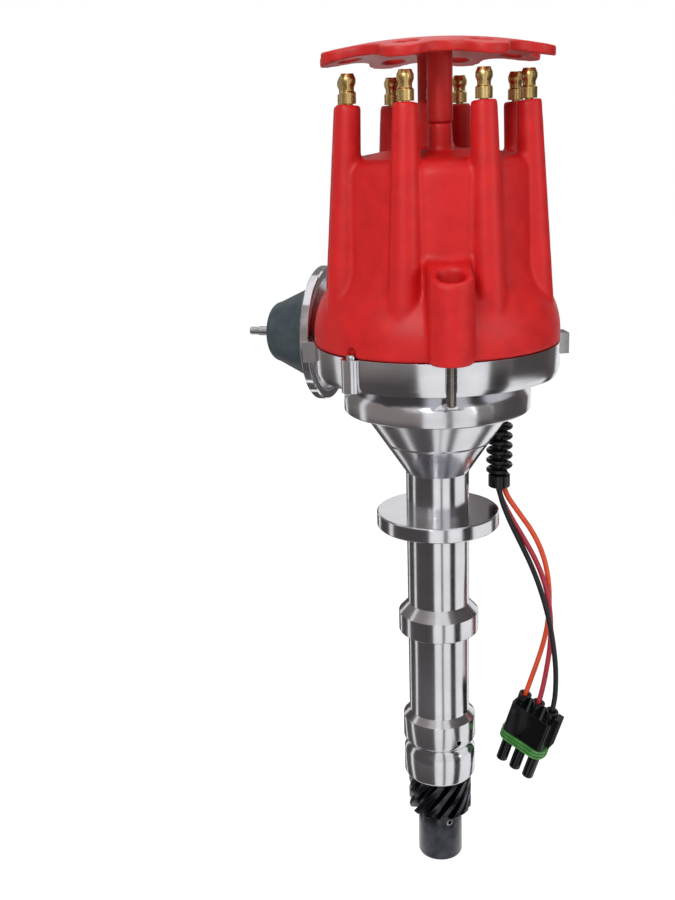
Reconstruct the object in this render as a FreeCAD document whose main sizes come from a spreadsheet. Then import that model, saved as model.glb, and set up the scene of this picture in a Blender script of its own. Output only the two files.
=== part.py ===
"""Ignition distributor with a vacuum canister and a three-way lead.

The origin is on the shaft axis, on the underside of the hold-down flange. +Z runs up the shaft and
-Y points at the front latch of the cap. All sizes are millimetres.
"""
import FreeCAD, Part
import math
import os
import re
import Sketcher

doc = FreeCAD.newDocument("Distributor")

# Driving sizes, by the piece that sets them
SIZES = {
    "Fits": {
        "running_fit": 0.05,
        "free_gap": 0.3,
        "edge_break": 0.5,
    },
    "Housing shank, from the flange down": {
        "bore_r": 8.5,
        "shank_r": 13.2,
        "flange_r": 25.8,
        "flange_h": 6.4,
        "pilot_drop": 35.3,
        "pilot_rise": 4.4,
        "pilot_r": 17.2,
        "pilot_band": 8.9,
        "foot_drop": 38.1,
        "foot_rise": 2.8,
        "foot_r": 15.9,
        "foot_band": 10.1,
        "oil_groove_r": 14.3,
        "oil_groove_fall": 2.8,
        "oil_groove_flat": 0.8,
        "toe_r": 15.7,
        "toe_band": 11.0,
        "toe_chamfer": 1.0,
        "oil_hole_r": 1.15,
        "oil_hole_azimuth": -64.2,
    },
    "Housing head, from the flange up": {
        "neck_len": 17.3,
        "cone_h": 27.5,
        "cone_top_r": 31.5,
        "cone_line_lift": 13.2,
        "cone_line_w": 0.8,
        "shelf_r": 38.2,
        "shelf_h": 6.6,
        "ledge_h": 8.4,
        "ledge_top_r": 33.3,
        "rim_r": 49.4,
        "rim_h": 12.7,
        "rim_bevel_h": 2.6,
        "rim_bevel": 0.8,
        "bowl_r": 44.6,
        "bowl_floor": 3.2,
        "well_r": 29.5,
        "well_floor": 4.8,
        "hub_r": 17.0,
        "hub_step": 2.5,
        "hub_over": 2.2,
    },
    "Housing lugs and index screw": {
        "lug_r": 54.5,
        "lug_w": 8.0,
        "lug_lift": 4.8,
        "lug_stand": 0.7,
        "right_lug_azimuth": 6.0,
        "left_lug_azimuth": 174.0,
        "index_azimuth": -137.0,
        "index_at": 49.0,
        "index_boss_r": 4.0,
        "index_screw_r": 1.1,
        "index_head_r": 2.0,
        "index_head_h": 1.6,
        "index_screw_len": 6.0,
    },
    "Shaft, gear and lower bearing": {
        "shaft_r": 6.235,
        "bushing_len": 20.0,
        "gear_r": 13.9,
        "gear_root_r": 10.6,
        "gear_face": 17.8,
        "gear_teeth": 13,
        "gear_helix": 39.0,
        "gear_gap_w": 1.5,
        "gear_gap_open": 4.1,
        "gear_bevel": 1.0,
        "gear_hub_r": 9.85,
        "gear_hub_len": 23.2,
        "gear_hub_round": 1.0,
        "washer_h": 0.7,
        "pin_r": 1.7,
        "pin_bore_r": 0.9,
        "pin_lift": 19.2,
        "pin_azimuth": 20.8,
        "hex_across": 8.1,
        "hex_depth": 14.0,
        "shaft_end_recess": 0.8,
    },
    "Upper ball bearing": {
        "bearing_r": 14.0,
        "bearing_w": 8.0,
        "bearing_drop": 4.4,
        "ball_r": 2.2,
        "ball_count": 8,
        "race_gap": 1.3,
        "cage_r": 0.6,
        "cage_w": 6.4,
        "snap_w": 1.0,
        "snap_depth": 0.8,
        "snap_reach": 1.9,
        "collar_r": 9.0,
        "collar_len": 4.7,
    },
    "Centrifugal advance": {
        "sleeve_wall": 2.2,
        "sleeve_len": 16.0,
        "base_r": 28.0,
        "base_h": 2.0,
        "cam_long": 8.6,
        "cam_wide": 6.4,
        "cam_bore_r": 4.5,
        "weight_h": 4.0,
        "weight_in_r": 12.0,
        "weight_out_r": 24.0,
        "weight_pin_at": 18.0,
        "weight_pin_turn": 34.0,
        "weight_half_turn": 42.0,
        "weight_pin_r": 1.8,
        "weight_pin_over": 1.2,
        "reluctor_r": 22.0,
        "reluctor_hub_r": 14.5,
        "reluctor_h": 5.0,
        "reluctor_tooth_w": 4.0,
        "reluctor_teeth": 8,
        "reluctor_lift": 3.0,
    },
    "Pickup plate and coil": {
        "plate_h": 2.0,
        "plate_r": 28.5,
        "plate_hub_h": 3.8,
        "plate_hub_r": 19.5,
        "plate_clip_h": 0.7,
        "clip_depth": 0.5,
        "clip_reach": 1.6,
        "link_pin_r": 1.5,
        "link_pin_lead": 5.0,
        "pickup_azimuth": -60.0,
        "pickup_in": 23.2,
        "pickup_out": 36.5,
        "pickup_w": 17.0,
        "pickup_foot_h": 3.0,
        "pickup_coil_r": 5.6,
        "pickup_pole_w": 4.0,
        "small_screw_r": 1.25,
        "small_head_r": 2.4,
        "small_head_h": 1.7,
    },
    "Ignition module": {
        "module_azimuth": 184.0,
        "module_half_turn": 23.0,
        "module_in": 30.2,
        "module_out": 43.8,
        "module_h": 7.4,
        "module_screw_turn": 18.0,
    },
    "Cap shell": {
        "cap_lip_h": 4.1,
        "cap_flare_r": 44.6,
        "cap_flare_rise": 20.5,
        "cap_waist_r": 39.9,
        "cap_waist_rise": 13.6,
        "cap_shoulder_r": 38.6,
        "cap_wall_rise": 32.0,
        "cap_crown_r": 32.2,
        "cap_shoulder_rise": 6.4,
        "cap_crown_rise": 2.8,
        "cap_wall": 3.6,
        "cap_roof": 5.2,
        "cap_spigot_h": 0.7,
        "tower_count": 8,
        "tower_turn": 22.5,
        "tower_foot_at": 41.0,
        "tower_foot_r": 6.9,
        "tower_foot_lift": 8.1,
        "tower_at": 36.5,
        "tower_top_r": 4.8,
        "tower_top_lift": 92.0,
        "coil_tower_r": 7.4,
        "coil_tower_top_r": 6.0,
        "coil_tower_lift": 93.0,
        "post_r": 4.4,
        "post_at": 18.0,
        "post_lift": 84.5,
        "button_boss_r": 6.5,
        "button_boss_drop": 12.6,
    },
    "Cap inserts": {
        "terminal_stem_r": 1.6,
        "terminal_collar_r": 3.1,
        "terminal_neck_r": 2.45,
        "terminal_tip_r": 2.3,
        "terminal_collar_h": 4.3,
        "terminal_undercut": 0.4,
        "terminal_neck_h": 6.2,
        "terminal_bulge_h": 9.2,
        "terminal_h": 11.1,
        "segment_w": 5.0,
        "segment_h": 12.0,
        "segment_in": 31.3,
        "segment_foot": 43.1,
        "button_r": 2.8,
        "button_len": 9.0,
        "button_out": 4.0,
        "button_spring_wire_r": 0.35,
    },
    "Rotor": {
        "rotor_gap": 3.7,
        "rotor_disc_r": 25.5,
        "rotor_disc_h": 4.0,
        "rotor_hub_r": 10.0,
        "rotor_hub_h": 22.0,
        "rotor_foot_r": 4.0,
        "rotor_foot_at": 22.0,
        "rotor_spark_gap": 0.8,
        "blade_h": 1.6,
        "blade_w": 6.5,
    },
    "Cap latches": {
        "latch_at": 50.3,
        "latch_boss_r": 8.3,
        "latch_boss_h": 36.6,
        "latch_boss_slope": 21.0,
        "latch_hole_r": 5.0,
        "latch_floor": 5.1,
        "latch_rod_r": 1.75,
        "latch_notch_r": 2.3,
        "latch_head_r": 4.5,
        "latch_head_h": 3.2,
        "latch_slot_w": 1.2,
        "latch_spring_len": 12.0,
        "latch_spring_wire_r": 0.45,
        "latch_washer_h": 0.8,
        "latch_hook_r": 1.5,
        "latch_hook_len": 7.0,
        "latch_travel": 2.5,
        "latch_mill_r": 14.0,
        "latch_mill_drop": 7.7,
    },
    "Wire retainer": {
        "retainer_r": 45.8,
        "retainer_h": 3.7,
        "retainer_crown_h": 4.0,
        "retainer_crown": 5.2,
        "retainer_under": 106.8,
        "lobe_at": 37.75,
        "lobe_r": 8.4,
        "scallop_at": 49.0,
        "wire_hole_at": 34.5,
        "wire_hole_r": 4.4,
        "leg_r": 4.8,
        "retainer_screw_r": 1.6,
        "retainer_head_r": 3.2,
        "retainer_head_h": 2.2,
        "retainer_screw_grip": 7.4,
    },
    "Vacuum canister": {
        "canister_azimuth": 160.3,
        "canister_off": 21.1,
        "canister_stand": 50.6,
        "canister_drop": 2.1,
        "canister_r": 29.0,
        "crimp_w": 4.0,
        "crimp_t": 0.7,
        "crimp_lip": 3.6,
        "shell_t": 0.8,
        "shell_flat_r": 21.6,
        "shell_depth": 2.8,
        "nose_base_r": 21.9,
        "nose_len": 24.2,
        "nose_round_r": 13.2,
        "nose_round_len": 4.2,
        "nose_end_r": 8.8,
        "nose_wall": 1.3,
        "nipple_r": 2.0,
        "nipple_tip_r": 1.7,
        "nipple_neck_r": 1.75,
        "nipple_bore_r": 1.1,
        "nipple_len": 11.0,
        "nipple_tip_len": 4.0,
        "link_r": 1.0,
        "link_travel": 3.7,
        "link_eye_r": 3.4,
        "spring_seat_r": 13.0,
        "diaphragm_spring_r": 7.2,
        "diaphragm_spring_wire_r": 0.7,
        "bracket_t": 1.6,
        "bracket_flange_r": 12.0,
        "bracket_w": 20.0,
        "bracket_reach": 19.0,
        "bracket_lift": 3.6,
        "bracket_screw_at": 34.0,
        "bracket_screw_off": 5.5,
        "bracket_screw_r": 1.5,
    },
    "Strain relief and lead": {
        "relief_x": 28.2,
        "relief_y": 13.05,
        "relief_foot_z": 11.2,
        "relief_collar_r": 4.8,
        "relief_collar_h": 7.4,
        "relief_core_r": 3.5,
        "relief_rib_r": 5.3,
        "relief_rib_h": 2.1,
        "relief_pitch": 3.6,
        "relief_ribs": 6,
        "relief_neck_r": 4.2,
        "relief_bore_r": 3.2,
        "relief_bore_h": 3.0,
        "lead_r": 1.15,
    },
    "Connector": {
        "plug_w": 20.4,
        "plug_len": 16.0,
        "plug_deep": 10.5,
        "plug_pitch": 7.1,
        "plug_core_w": 19.2,
        "plug_core_deep": 8.0,
        "plug_seal_w": 23.0,
        "plug_seal_deep": 12.0,
        "plug_seal_len": 5.0,
        "plug_tower_r": 2.6,
        "plug_tower_len": 13.6,
        "plug_pin_r": 0.9,
        "plug_pin_len": 9.0,
        "plug_ear_r": 2.9,
        "plug_ear_bore_r": 1.7,
        "plug_ear_len": 4.2,
    },
}

# Levels and radii that follow from the driving sizes
RELATIONS = {
    "z_neck": "flange_h + neck_len",
    "z_shelf": "z_neck + cone_h",
    "z_ledge": "z_shelf + shelf_h",
    "z_rim": "z_ledge + ledge_h",
    "z_top": "z_rim + rim_h",
    "z_floor": "z_rim + bowl_floor",
    "z_well": "z_shelf + well_floor",
    "cone_slope": "(cone_top_r - shank_r) / cone_h",
    "z_pilot": "-pilot_drop - pilot_rise",
    "z_pilot_end": "z_pilot - pilot_band",
    "z_foot_start": "z_pilot_end - foot_drop",
    "z_foot": "z_foot_start - foot_rise",
    "z_foot_end": "z_foot - foot_band",
    "z_groove": "z_foot_end - oil_groove_fall",
    "z_toe": "z_groove - oil_groove_flat - oil_groove_fall",
    "z_toe_end": "z_toe - toe_band - toe_chamfer",
    "z_gear": "z_toe_end - free_gap - washer_h",
    "z_gear_end": "z_gear - gear_face",
    "z_hub_end": "z_gear_end - gear_hub_len",
    "z_bearing": "z_floor - bearing_drop",
    "z_bearing_top": "z_bearing + bearing_w",
    "ball_path_r": "(shaft_r + bearing_r) / 2",
    "z_snap": "z_bearing_top + 0.2",
    "z_hub": "z_bearing_top + hub_over",
    "z_seat": "z_floor + 0.5",
    "z_plate": "z_seat + free_gap",
    "z_clip": "z_plate + plate_hub_h + free_gap",
    "z_sleeve": "z_bearing_top + collar_len + free_gap",
    "z_base_top": "z_sleeve + sleeve_len",
    "z_weight": "z_base_top + free_gap",
    "z_weight_top": "z_weight + weight_h",
    "z_rotor": "z_weight_top + rotor_gap",
    "z_blade": "z_rotor + rotor_disc_h + rotor_hub_h - 4",
    "z_flare": "z_top + cap_flare_rise",
    "z_waist": "z_flare + cap_waist_rise",
    "z_shoulder": "z_waist + cap_wall_rise",
    "z_crown": "z_shoulder + cap_shoulder_rise",
    "z_roof": "z_crown + cap_crown_rise - cap_roof",
    "z_button_boss": "z_roof - button_boss_drop",
    "z_tower": "z_top + tower_top_lift",
    "z_post": "z_top + post_lift",
    "z_retainer": "z_top + retainer_under",
    "dome_r": "(retainer_r^2 + retainer_crown^2) / (2 * retainer_crown)",
    "dome_under_r": "(retainer_r^2 + retainer_crown_fall^2) / (2 * retainer_crown_fall)",
    "retainer_crown_fall": "retainer_crown + retainer_h - retainer_crown_h",
    "z_latch_floor": "z_top + latch_floor",
    "z_washer": "z_latch_floor + latch_spring_len + 2 * free_gap",
    "z_latch_head": "z_washer + latch_washer_h + free_gap",
    "z_hook": "z_rim - free_gap - latch_hook_r",
    "z_canister": "z_top - canister_drop",
    "z_bracket": "z_floor + bracket_lift",
    "link_rest_turn": "canister_azimuth - 90 - link_pin_lead",
}

ALIASES = {alias for group in SIZES.values() for alias in group}

sheet = doc.addObject("Spreadsheet::Sheet", "Sizes")


def fill_sheet():
    row = 1
    for heading, group in SIZES.items():
        sheet.set("A%d" % row, heading)
        row += 1
        for alias, size in group.items():
            sheet.set("A%d" % row, alias.replace("_", " "))
            sheet.set("B%d" % row, str(size))
            sheet.setAlias("B%d" % row, alias)
            row += 1
    doc.recompute()


def bind(text):
    """Turns a formula in plain words into one that names the sheet's cells."""
    def swap(match):
        word = match.group(0)
        if word in RELATIONS:
            return "(" + bind(RELATIONS[word]) + ")"
        return "Sizes." + word if word in ALIASES else word
    return re.sub(r"[a-z_][a-z_0-9]*", swap, str(text))


def value(text):
    result = sheet.evalExpression(bind(text))
    return float(getattr(result, "Value", result))


def polar(radius, azimuth):
    """A point in plan, from formulas for its radius and its azimuth from +X."""
    return f"({radius}) * cos({azimuth})", f"({radius}) * sin({azimuth})"


def beside_canister(along, across):
    """A point in plan, measured along the canister's axis and across it."""
    turn = "canister_azimuth"
    return (f"({along}) * cos({turn}) - ({across}) * sin({turn})",
            f"({along}) * sin({turn}) + ({across}) * cos({turn})")


# Bodies and sketches
def body(label):
    result = doc.addObject("PartDesign::Body", label)
    result.Label = label
    result.AllowCompound = True
    return result


def origin_feature(owner, role):
    return next(o for o in owner.Origin.OriginFeatures if o.Role == role)


def sketch(owner, plane="XY_Plane", lift="0", turn="0", shift="0"):
    """A sketch on one of the body's own planes, lifted off it, turned about Z or shifted along its X."""
    result = owner.newObject("Sketcher::SketchObject", owner.Label + "_sketch")
    result.AttachmentSupport = [(origin_feature(owner, plane), "")]
    result.MapMode = "FlatFace"
    upright = FreeCAD.Vector(0, 0, 1) if plane == "XY_Plane" else FreeCAD.Vector(0, 1, 0)
    turned = FreeCAD.Rotation(upright, value(turn))
    result.AttachmentOffset = FreeCAD.Placement(FreeCAD.Vector(), turned)
    result.setExpression("AttachmentOffset.Base.z", bind(lift))
    result.setExpression("AttachmentOffset.Base.x", bind(shift))
    return result


def fix(target, kind, geometry, point, text):
    """Ties one coordinate of a sketch point to a formula."""
    number = target.addConstraint(Sketcher.Constraint(kind, -1, 1, geometry, point, value(text)))
    target.setExpression("Constraints[%d]" % number, bind(text))


def arc_edge(start, end, radius, side):
    """The short arc from start to end, its centre on the left (side 1) or the right (side -1)."""
    chord = end - start
    half = chord.Length / 2
    height = math.sqrt(max(radius * radius - half * half, 0))
    left = FreeCAD.Vector(-chord.y, chord.x, 0).normalize()
    centre = (start + end) * 0.5 + left * (side * height)
    first, last = (start, end) if side > 0 else (end, start)
    low = math.atan2(first.y - centre.y, first.x - centre.x)
    high = math.atan2(last.y - centre.y, last.x - centre.x)
    if high < low:
        high += 2 * math.pi
    circle = Part.Circle(centre, FreeCAD.Vector(0, 0, 1), radius)
    return Part.ArcOfCircle(circle, low, high)


def outline(target, points):
    """A closed outline. A point is (x, y), or (x, y, radius, side) where an arc leaves it."""
    first = target.GeometryCount
    count = len(points)
    spots = [FreeCAD.Vector(value(p[0]), value(p[1]), 0) for p in points]
    ends = []
    for i, point in enumerate(points):
        following = spots[(i + 1) % count]
        if len(point) == 2:
            target.addGeometry(Part.LineSegment(spots[i], following), False)
            ends.append((1, 2))
        else:
            target.addGeometry(arc_edge(spots[i], following, value(point[2]), point[3]), False)
            ends.append((1, 2) if point[3] > 0 else (2, 1))
    for i in range(count):
        after = (i + 1) % count
        target.addConstraint(
            Sketcher.Constraint("Coincident", first + i, ends[i][1], first + after, ends[after][0]))
    for i, point in enumerate(points):
        fix(target, "DistanceX", first + i, ends[i][0], point[0])
        fix(target, "DistanceY", first + i, ends[i][0], point[1])
        if len(point) > 2:
            number = target.addConstraint(Sketcher.Constraint("Radius", first + i, value(point[2])))
            target.setExpression("Constraints[%d]" % number, bind(point[2]))


def circle(target, x, y, radius):
    centre = FreeCAD.Vector(value(x), value(y), 0)
    number = target.addGeometry(Part.Circle(centre, FreeCAD.Vector(0, 0, 1), value(radius)), False)
    fix(target, "DistanceX", number, 3, x)
    fix(target, "DistanceY", number, 3, y)
    limit = target.addConstraint(Sketcher.Constraint("Radius", number, value(radius)))
    target.setExpression("Constraints[%d]" % limit, bind(radius))


# Features
def turn_profile(owner, points, cut=False, plane="XZ_Plane", shift="0", turn="0"):
    """A profile of (radius, height) points turned full circle about its own upright axis."""
    profile = sketch(owner, plane, shift=shift, turn=turn)
    outline(profile, points)
    kind = "PartDesign::Groove" if cut else "PartDesign::Revolution"
    feature = owner.newObject(kind, owner.Label + "_turned")
    feature.Profile = profile
    feature.ReferenceAxis = (profile, ["V_Axis"])
    feature.Angle = 360
    return feature


def leaning_cone(owner, foot, top, foot_r, top_r, azimuth):
    """A cone turned about a leaning axis, between two (radius, height) points of an upright plane."""
    profile = sketch(owner, "XZ_Plane", turn=azimuth)
    lean = f"atan(({foot[0]} - {top[0]}) / ({top[1]} - ({foot[1]})))"
    outline(profile, [
        foot,
        (f"{foot[0]} + ({foot_r}) * cos({lean})", f"{foot[1]} + ({foot_r}) * sin({lean})"),
        (f"{top[0]} + ({top_r}) * cos({lean})", f"{top[1]} + ({top_r}) * sin({lean})"),
        top,
    ])
    ends = [FreeCAD.Vector(value(x), value(y), 0) for x, y in (foot, top)]
    axis = profile.addGeometry(Part.LineSegment(*ends), True)
    for point, (x, y) in ((1, foot), (2, top)):
        fix(profile, "DistanceX", axis, point, x)
        fix(profile, "DistanceY", axis, point, y)
    feature = owner.newObject("PartDesign::Revolution", owner.Label + "_cone")
    feature.Profile = profile
    feature.ReferenceAxis = (profile, ["Axis0"])
    feature.Angle = 360
    return feature


def extrude(owner, length, points=None, circles=(), cut=False, both=False, reverse=False, **where):
    """A pad or pocket of one outline or some circles."""
    profile = sketch(owner, **where)
    if points:
        outline(profile, points)
    for x, y, radius in circles:
        circle(profile, x, y, radius)
    kind = "PartDesign::Pocket" if cut else "PartDesign::Pad"
    feature = owner.newObject(kind, owner.Label + ("_pocket" if cut else "_pad"))
    feature.Profile = profile
    feature.setExpression("Length", bind(length))
    feature.Reversed = reverse
    if both:
        feature.SideType = "Symmetric"
    return feature


def around(owner, features, count, angle=360):
    """Repeats features about the body's Z axis."""
    pattern = owner.newObject("PartDesign::PolarPattern", owner.Label + "_around")
    pattern.Originals = features
    pattern.Axis = (origin_feature(owner, "Z_Axis"), [""])
    pattern.Angle = angle
    pattern.setExpression("Occurrences", bind(count))
    owner.Tip = pattern
    return pattern


def in_line(owner, features, length, count):
    """Repeats features along the body's Z axis, over a length."""
    pattern = owner.newObject("PartDesign::LinearPattern", owner.Label + "_row")
    pattern.Originals = features
    pattern.Direction = (origin_feature(owner, "Z_Axis"), [""])
    pattern.setExpression("Length", bind(length))
    pattern.setExpression("Occurrences", bind(count))
    owner.Tip = pattern
    return pattern


def loft(owner, sketches, cut=False, ruled=False):
    kind = "PartDesign::SubtractiveLoft" if cut else "PartDesign::AdditiveLoft"
    feature = owner.newObject(kind, owner.Label + "_loft")
    feature.Profile = sketches[0]
    feature.Sections = sketches[1:]
    feature.Ruled = ruled
    return feature


def place(target, x="0", y="0", z="0", rotation=None):
    spot = FreeCAD.Vector(value(x), value(y), value(z))
    target.Placement = FreeCAD.Placement(spot, rotation or FreeCAD.Rotation())


def ring(owner, inner, outer, low, high, cut=False):
    points = [(inner, low), (outer, low), (outer, high), (inner, high)]
    return turn_profile(owner, points, cut)


def coil(label, radius, wire, low, high, turns, placement=None):
    """A round-wire spring: a six-sided wire along a helix of twelve straight runs to the turn."""
    steps = 12
    path_r, wire_r, bottom, top = value(radius), value(wire), value(low), value(high)
    rise = top - bottom - 2 * wire_r
    path = []
    for i in range(turns * steps + 1):
        angle = 2 * math.pi * i / steps
        level = bottom + wire_r + rise * i / (turns * steps)
        path.append(FreeCAD.Vector(path_r * math.cos(angle), path_r * math.sin(angle), level))
    section = []
    for k in range(7):
        angle = math.pi * k / 3
        offset = wire_r * math.cos(angle)
        section.append(path[0] + FreeCAD.Vector(offset, 0, wire_r * math.sin(angle)))
    shape = Part.Wire(Part.makePolygon(path)).makePipeShell([Part.makePolygon(section)], True, False, 1)
    result = doc.addObject("Part::Feature", label)
    result.Label = label
    result.Shape = shape
    if placement:
        result.Placement = placement
    return result


def spring_pair(label, placements, **sizes):
    """Two coils in one node."""
    members = []
    for i, placement in enumerate(placements):
        members.append(coil(f"{label}_{i}", placement=placement, **sizes))
    group = doc.addObject("Part::Compound", label)
    group.Label = label
    group.Links = members
    return group


fill_sheet()
NODES = []


def node(target):
    NODES.append(target)
    return target


# Housing: one turned casting with its milled notches, lugs and seats
def housing():
    part = body("housing")
    line_r = "shank_r + cone_slope * cone_line_lift"
    line_top_r = "shank_r + cone_slope * (cone_line_lift + cone_line_w)"
    line_z = "z_neck + cone_line_lift"
    turn_profile(part, [
        ("bore_r", "z_toe_end"),
        ("toe_r - toe_chamfer / 2", "z_toe_end"),
        ("toe_r", "z_toe_end + toe_chamfer"),
        ("toe_r", "z_toe"),
        ("oil_groove_r", "z_groove - oil_groove_flat"),
        ("oil_groove_r", "z_groove"),
        ("foot_r", "z_foot_end"),
        ("foot_r", "z_foot"),
        ("shank_r", "z_foot_start"),
        ("shank_r", "z_pilot_end"),
        ("pilot_r - edge_break", "z_pilot_end"),
        ("pilot_r", "z_pilot_end + edge_break"),
        ("pilot_r", "z_pilot"),
        ("shank_r", "-pilot_drop"),
        ("shank_r", "0"),
        ("flange_r - edge_break", "0"),
        ("flange_r", "edge_break"),
        ("flange_r", "flange_h - edge_break"),
        ("flange_r - edge_break", "flange_h"),
        ("shank_r", "flange_h"),
        ("shank_r", "z_neck"),
        (line_r, line_z),
        (line_r + " - cone_line_w", line_z),
        (line_r + " - cone_line_w", line_z + " + cone_line_w"),
        (line_top_r, line_z + " + cone_line_w"),
        ("cone_top_r", "z_shelf"),
        ("shelf_r - edge_break", "z_shelf"),
        ("shelf_r", "z_shelf + edge_break"),
        ("shelf_r", "z_ledge"),
        ("ledge_top_r", "z_rim"),
        ("rim_r - rim_bevel", "z_rim"),
        ("rim_r", "z_rim + rim_bevel_h"),
        ("rim_r", "z_top"),
        ("bowl_r", "z_top"),
        ("bowl_r", "z_floor"),
        ("well_r", "z_floor"),
        ("well_r", "z_well"),
        ("hub_r + hub_step", "z_well"),
        ("hub_r + hub_step", "z_seat"),
        ("hub_r", "z_seat"),
        ("hub_r", "z_clip"),
        ("hub_r - clip_depth", "z_clip"),
        ("hub_r - clip_depth", "z_clip + plate_clip_h"),
        ("hub_r", "z_clip + plate_clip_h"),
        ("hub_r", "z_hub"),
        ("bearing_r", "z_hub"),
        ("bearing_r", "z_snap + snap_w"),
        ("bearing_r + snap_depth", "z_snap + snap_w"),
        ("bearing_r + snap_depth", "z_snap"),
        ("bearing_r", "z_snap"),
        ("bearing_r", "z_bearing"),
        ("bore_r", "z_bearing"),
    ])
    for azimuth in ("right_lug_azimuth", "left_lug_azimuth"):
        extrude(part, "lug_w", [
            ("rim_r - 2", "z_rim + lug_lift"),
            ("lug_r", "z_rim + lug_lift"),
            ("lug_r", "z_top + lug_stand"),
            ("rim_r + edge_break", "z_top + lug_stand"),
            ("rim_r + edge_break", "z_top"),
            ("rim_r - 2", "z_top"),
        ], both=True, plane="XZ_Plane", turn=azimuth)
    index = polar("index_at", "index_azimuth")
    extrude(part, "rim_h", circles=[(*index, "index_boss_r")], lift="z_rim")
    for side in (-1, 1):
        spot = beside_canister("bracket_screw_at", f"-canister_off + {side} * bracket_screw_off")
        extrude(part, "bracket_lift", circles=[(*spot, "2 * bracket_screw_r")], lift="z_floor")
    notch = extrude(part, "rim_h + lug_stand", circles=[("0", "-latch_at", "latch_notch_r")], cut=True,
                    lift="z_top + lug_stand")
    around(part, [notch], "2")
    mill = extrude(part, "latch_mill_drop", circles=[("0", "-latch_at", "latch_mill_r")], cut=True,
                   lift="z_rim")
    around(part, [mill], "2")
    extrude(part, "foot_r + 1", circles=[("0", "(z_foot_end + z_foot_end + 4) / 2", "oil_hole_r")], cut=True,
            reverse=True, plane="XZ_Plane", turn="oil_hole_azimuth + 90")
    extrude(part, "well_floor + 14", circles=[("relief_x", "relief_y", "relief_neck_r")], cut=True,
            lift="z_well")
    slot = "bracket_w / 2 + free_gap"
    extrude(part, "z_top - z_bracket", [
        beside_canister("canister_stand - bracket_reach - 1", f"-canister_off - ({slot})"),
        beside_canister("rim_r + 2", f"-canister_off - ({slot})"),
        beside_canister("rim_r + 2", f"-canister_off + {slot}"),
        beside_canister("canister_stand - bracket_reach - 1", f"-canister_off + {slot}"),
    ], cut=True, lift="z_top")
    extrude(part, "index_screw_len", circles=[(*index, "index_screw_r")], cut=True, lift="z_top")
    holes = [(*polar("(module_in + module_out) / 2", f"module_azimuth + {s} * module_screw_turn"),
              "small_screw_r") for s in (-1, 1)]
    extrude(part, "bowl_floor - 1", circles=holes, cut=True, lift="z_floor")
    pads = []
    for side in (-1, 1):
        spot = beside_canister("bracket_screw_at", f"-canister_off + {side} * bracket_screw_off")
        pads.append((*spot, "bracket_screw_r"))
    extrude(part, "bracket_lift + 1.5", circles=pads, cut=True, lift="z_bracket")
    return part


def simple_rings():
    """Turned pieces of one plain section each."""
    sections = {
        "lower_bushing": ("shaft_r + running_fit", "bore_r", "z_toe_end", "z_toe_end + bushing_len"),
        "lower_thrust_washer": ("shaft_r", "gear_root_r", "z_gear", "z_gear + washer_h"),
        "upper_thrust_collar": ("shaft_r", "collar_r", "z_bearing_top", "z_bearing_top + collar_len"),
    }
    return [ring_node(label, *section) for label, section in sections.items()]


def ring_node(label, inner, outer, low, high):
    part = body(label)
    ring(part, inner, outer, low, high)
    return part


# Shaft line: shaft, helical gear, roll pin and centre cam
def main_shaft():
    part = body("main_shaft")
    low = "z_hub_end + shaft_end_recess"
    turn_profile(part, [
        ("0", low),
        ("shaft_r - edge_break", low),
        ("shaft_r", low + " + edge_break"),
        ("shaft_r", "z_base_top + free_gap / 2"),
        ("cam_bore_r", "z_base_top + free_gap / 2"),
        ("cam_bore_r", "z_weight_top + 1"),
        ("0", "z_weight_top + 1"),
    ])
    corners = [polar("hex_across / (2 * cos(30))", str(60 * k)) for k in range(6)]
    extrude(part, "hex_depth", corners, cut=True, reverse=True, lift=low)
    pin_bore(part)
    return part


def pin_bore(part):
    """The cross hole for the roll pin."""
    extrude(part, "2 * gear_hub_r + 2", circles=[("0", "z_hub_end + pin_lift", "pin_r")], cut=True,
            both=True, plane="XZ_Plane", turn="pin_azimuth")


def gear_teeth():
    """A toothed prism twisted along its height, of flat three-sided facets, bevelled at both ends."""
    count, inner_steps = int(value("gear_teeth")), 5
    low, face, tip, bevel = (value(name) for name in ("z_gear_end", "gear_face", "gear_r", "gear_bevel"))
    root, gap_w, gap_open = value("gear_root_r"), value("gear_gap_w"), value("gear_gap_open")
    twist = math.degrees(math.tan(math.radians(value("gear_helix"))) / tip)
    inner = [bevel + (face - 2 * bevel) * i / inner_steps for i in range(inner_steps + 1)]
    levels = [(0, tip - bevel)] + [(level, tip) for level in inner] + [(face, tip - bevel)]
    points = []
    for level, reach in levels:
        opening = gap_w + (gap_open - gap_w) * (reach - root) / (tip - root)
        gap = [(reach, -opening / 2), (root, -gap_w / 2), (root, gap_w / 2), (reach, opening / 2)]
        for k in range(count):
            turn = FreeCAD.Rotation(360 * k / count + twist * level, 0, 0)
            points += [turn.multVec(FreeCAD.Vector(x, y, low + level)) for x, y in gap]
    rim = count * 4
    facets = []
    for i in range(len(levels) - 1):
        for j in range(rim):
            a, b = i * rim + j, i * rim + (j + 1) % rim
            facets += [(a, b, b + rim), (a, b + rim, a + rim)]
    skin = Part.Shape()
    skin.makeShapeFromMesh((points, facets), 0.001)
    ends = [Part.Face(Part.makePolygon(loop + loop[:1])) for loop in (points[:rim], points[-rim:])]
    shell = Part.Shell(skin.Faces + ends)
    shell.sewShape()
    result = doc.addObject("Part::Feature", "gear_teeth")
    result.Shape = Part.Solid(shell)
    return result


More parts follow.
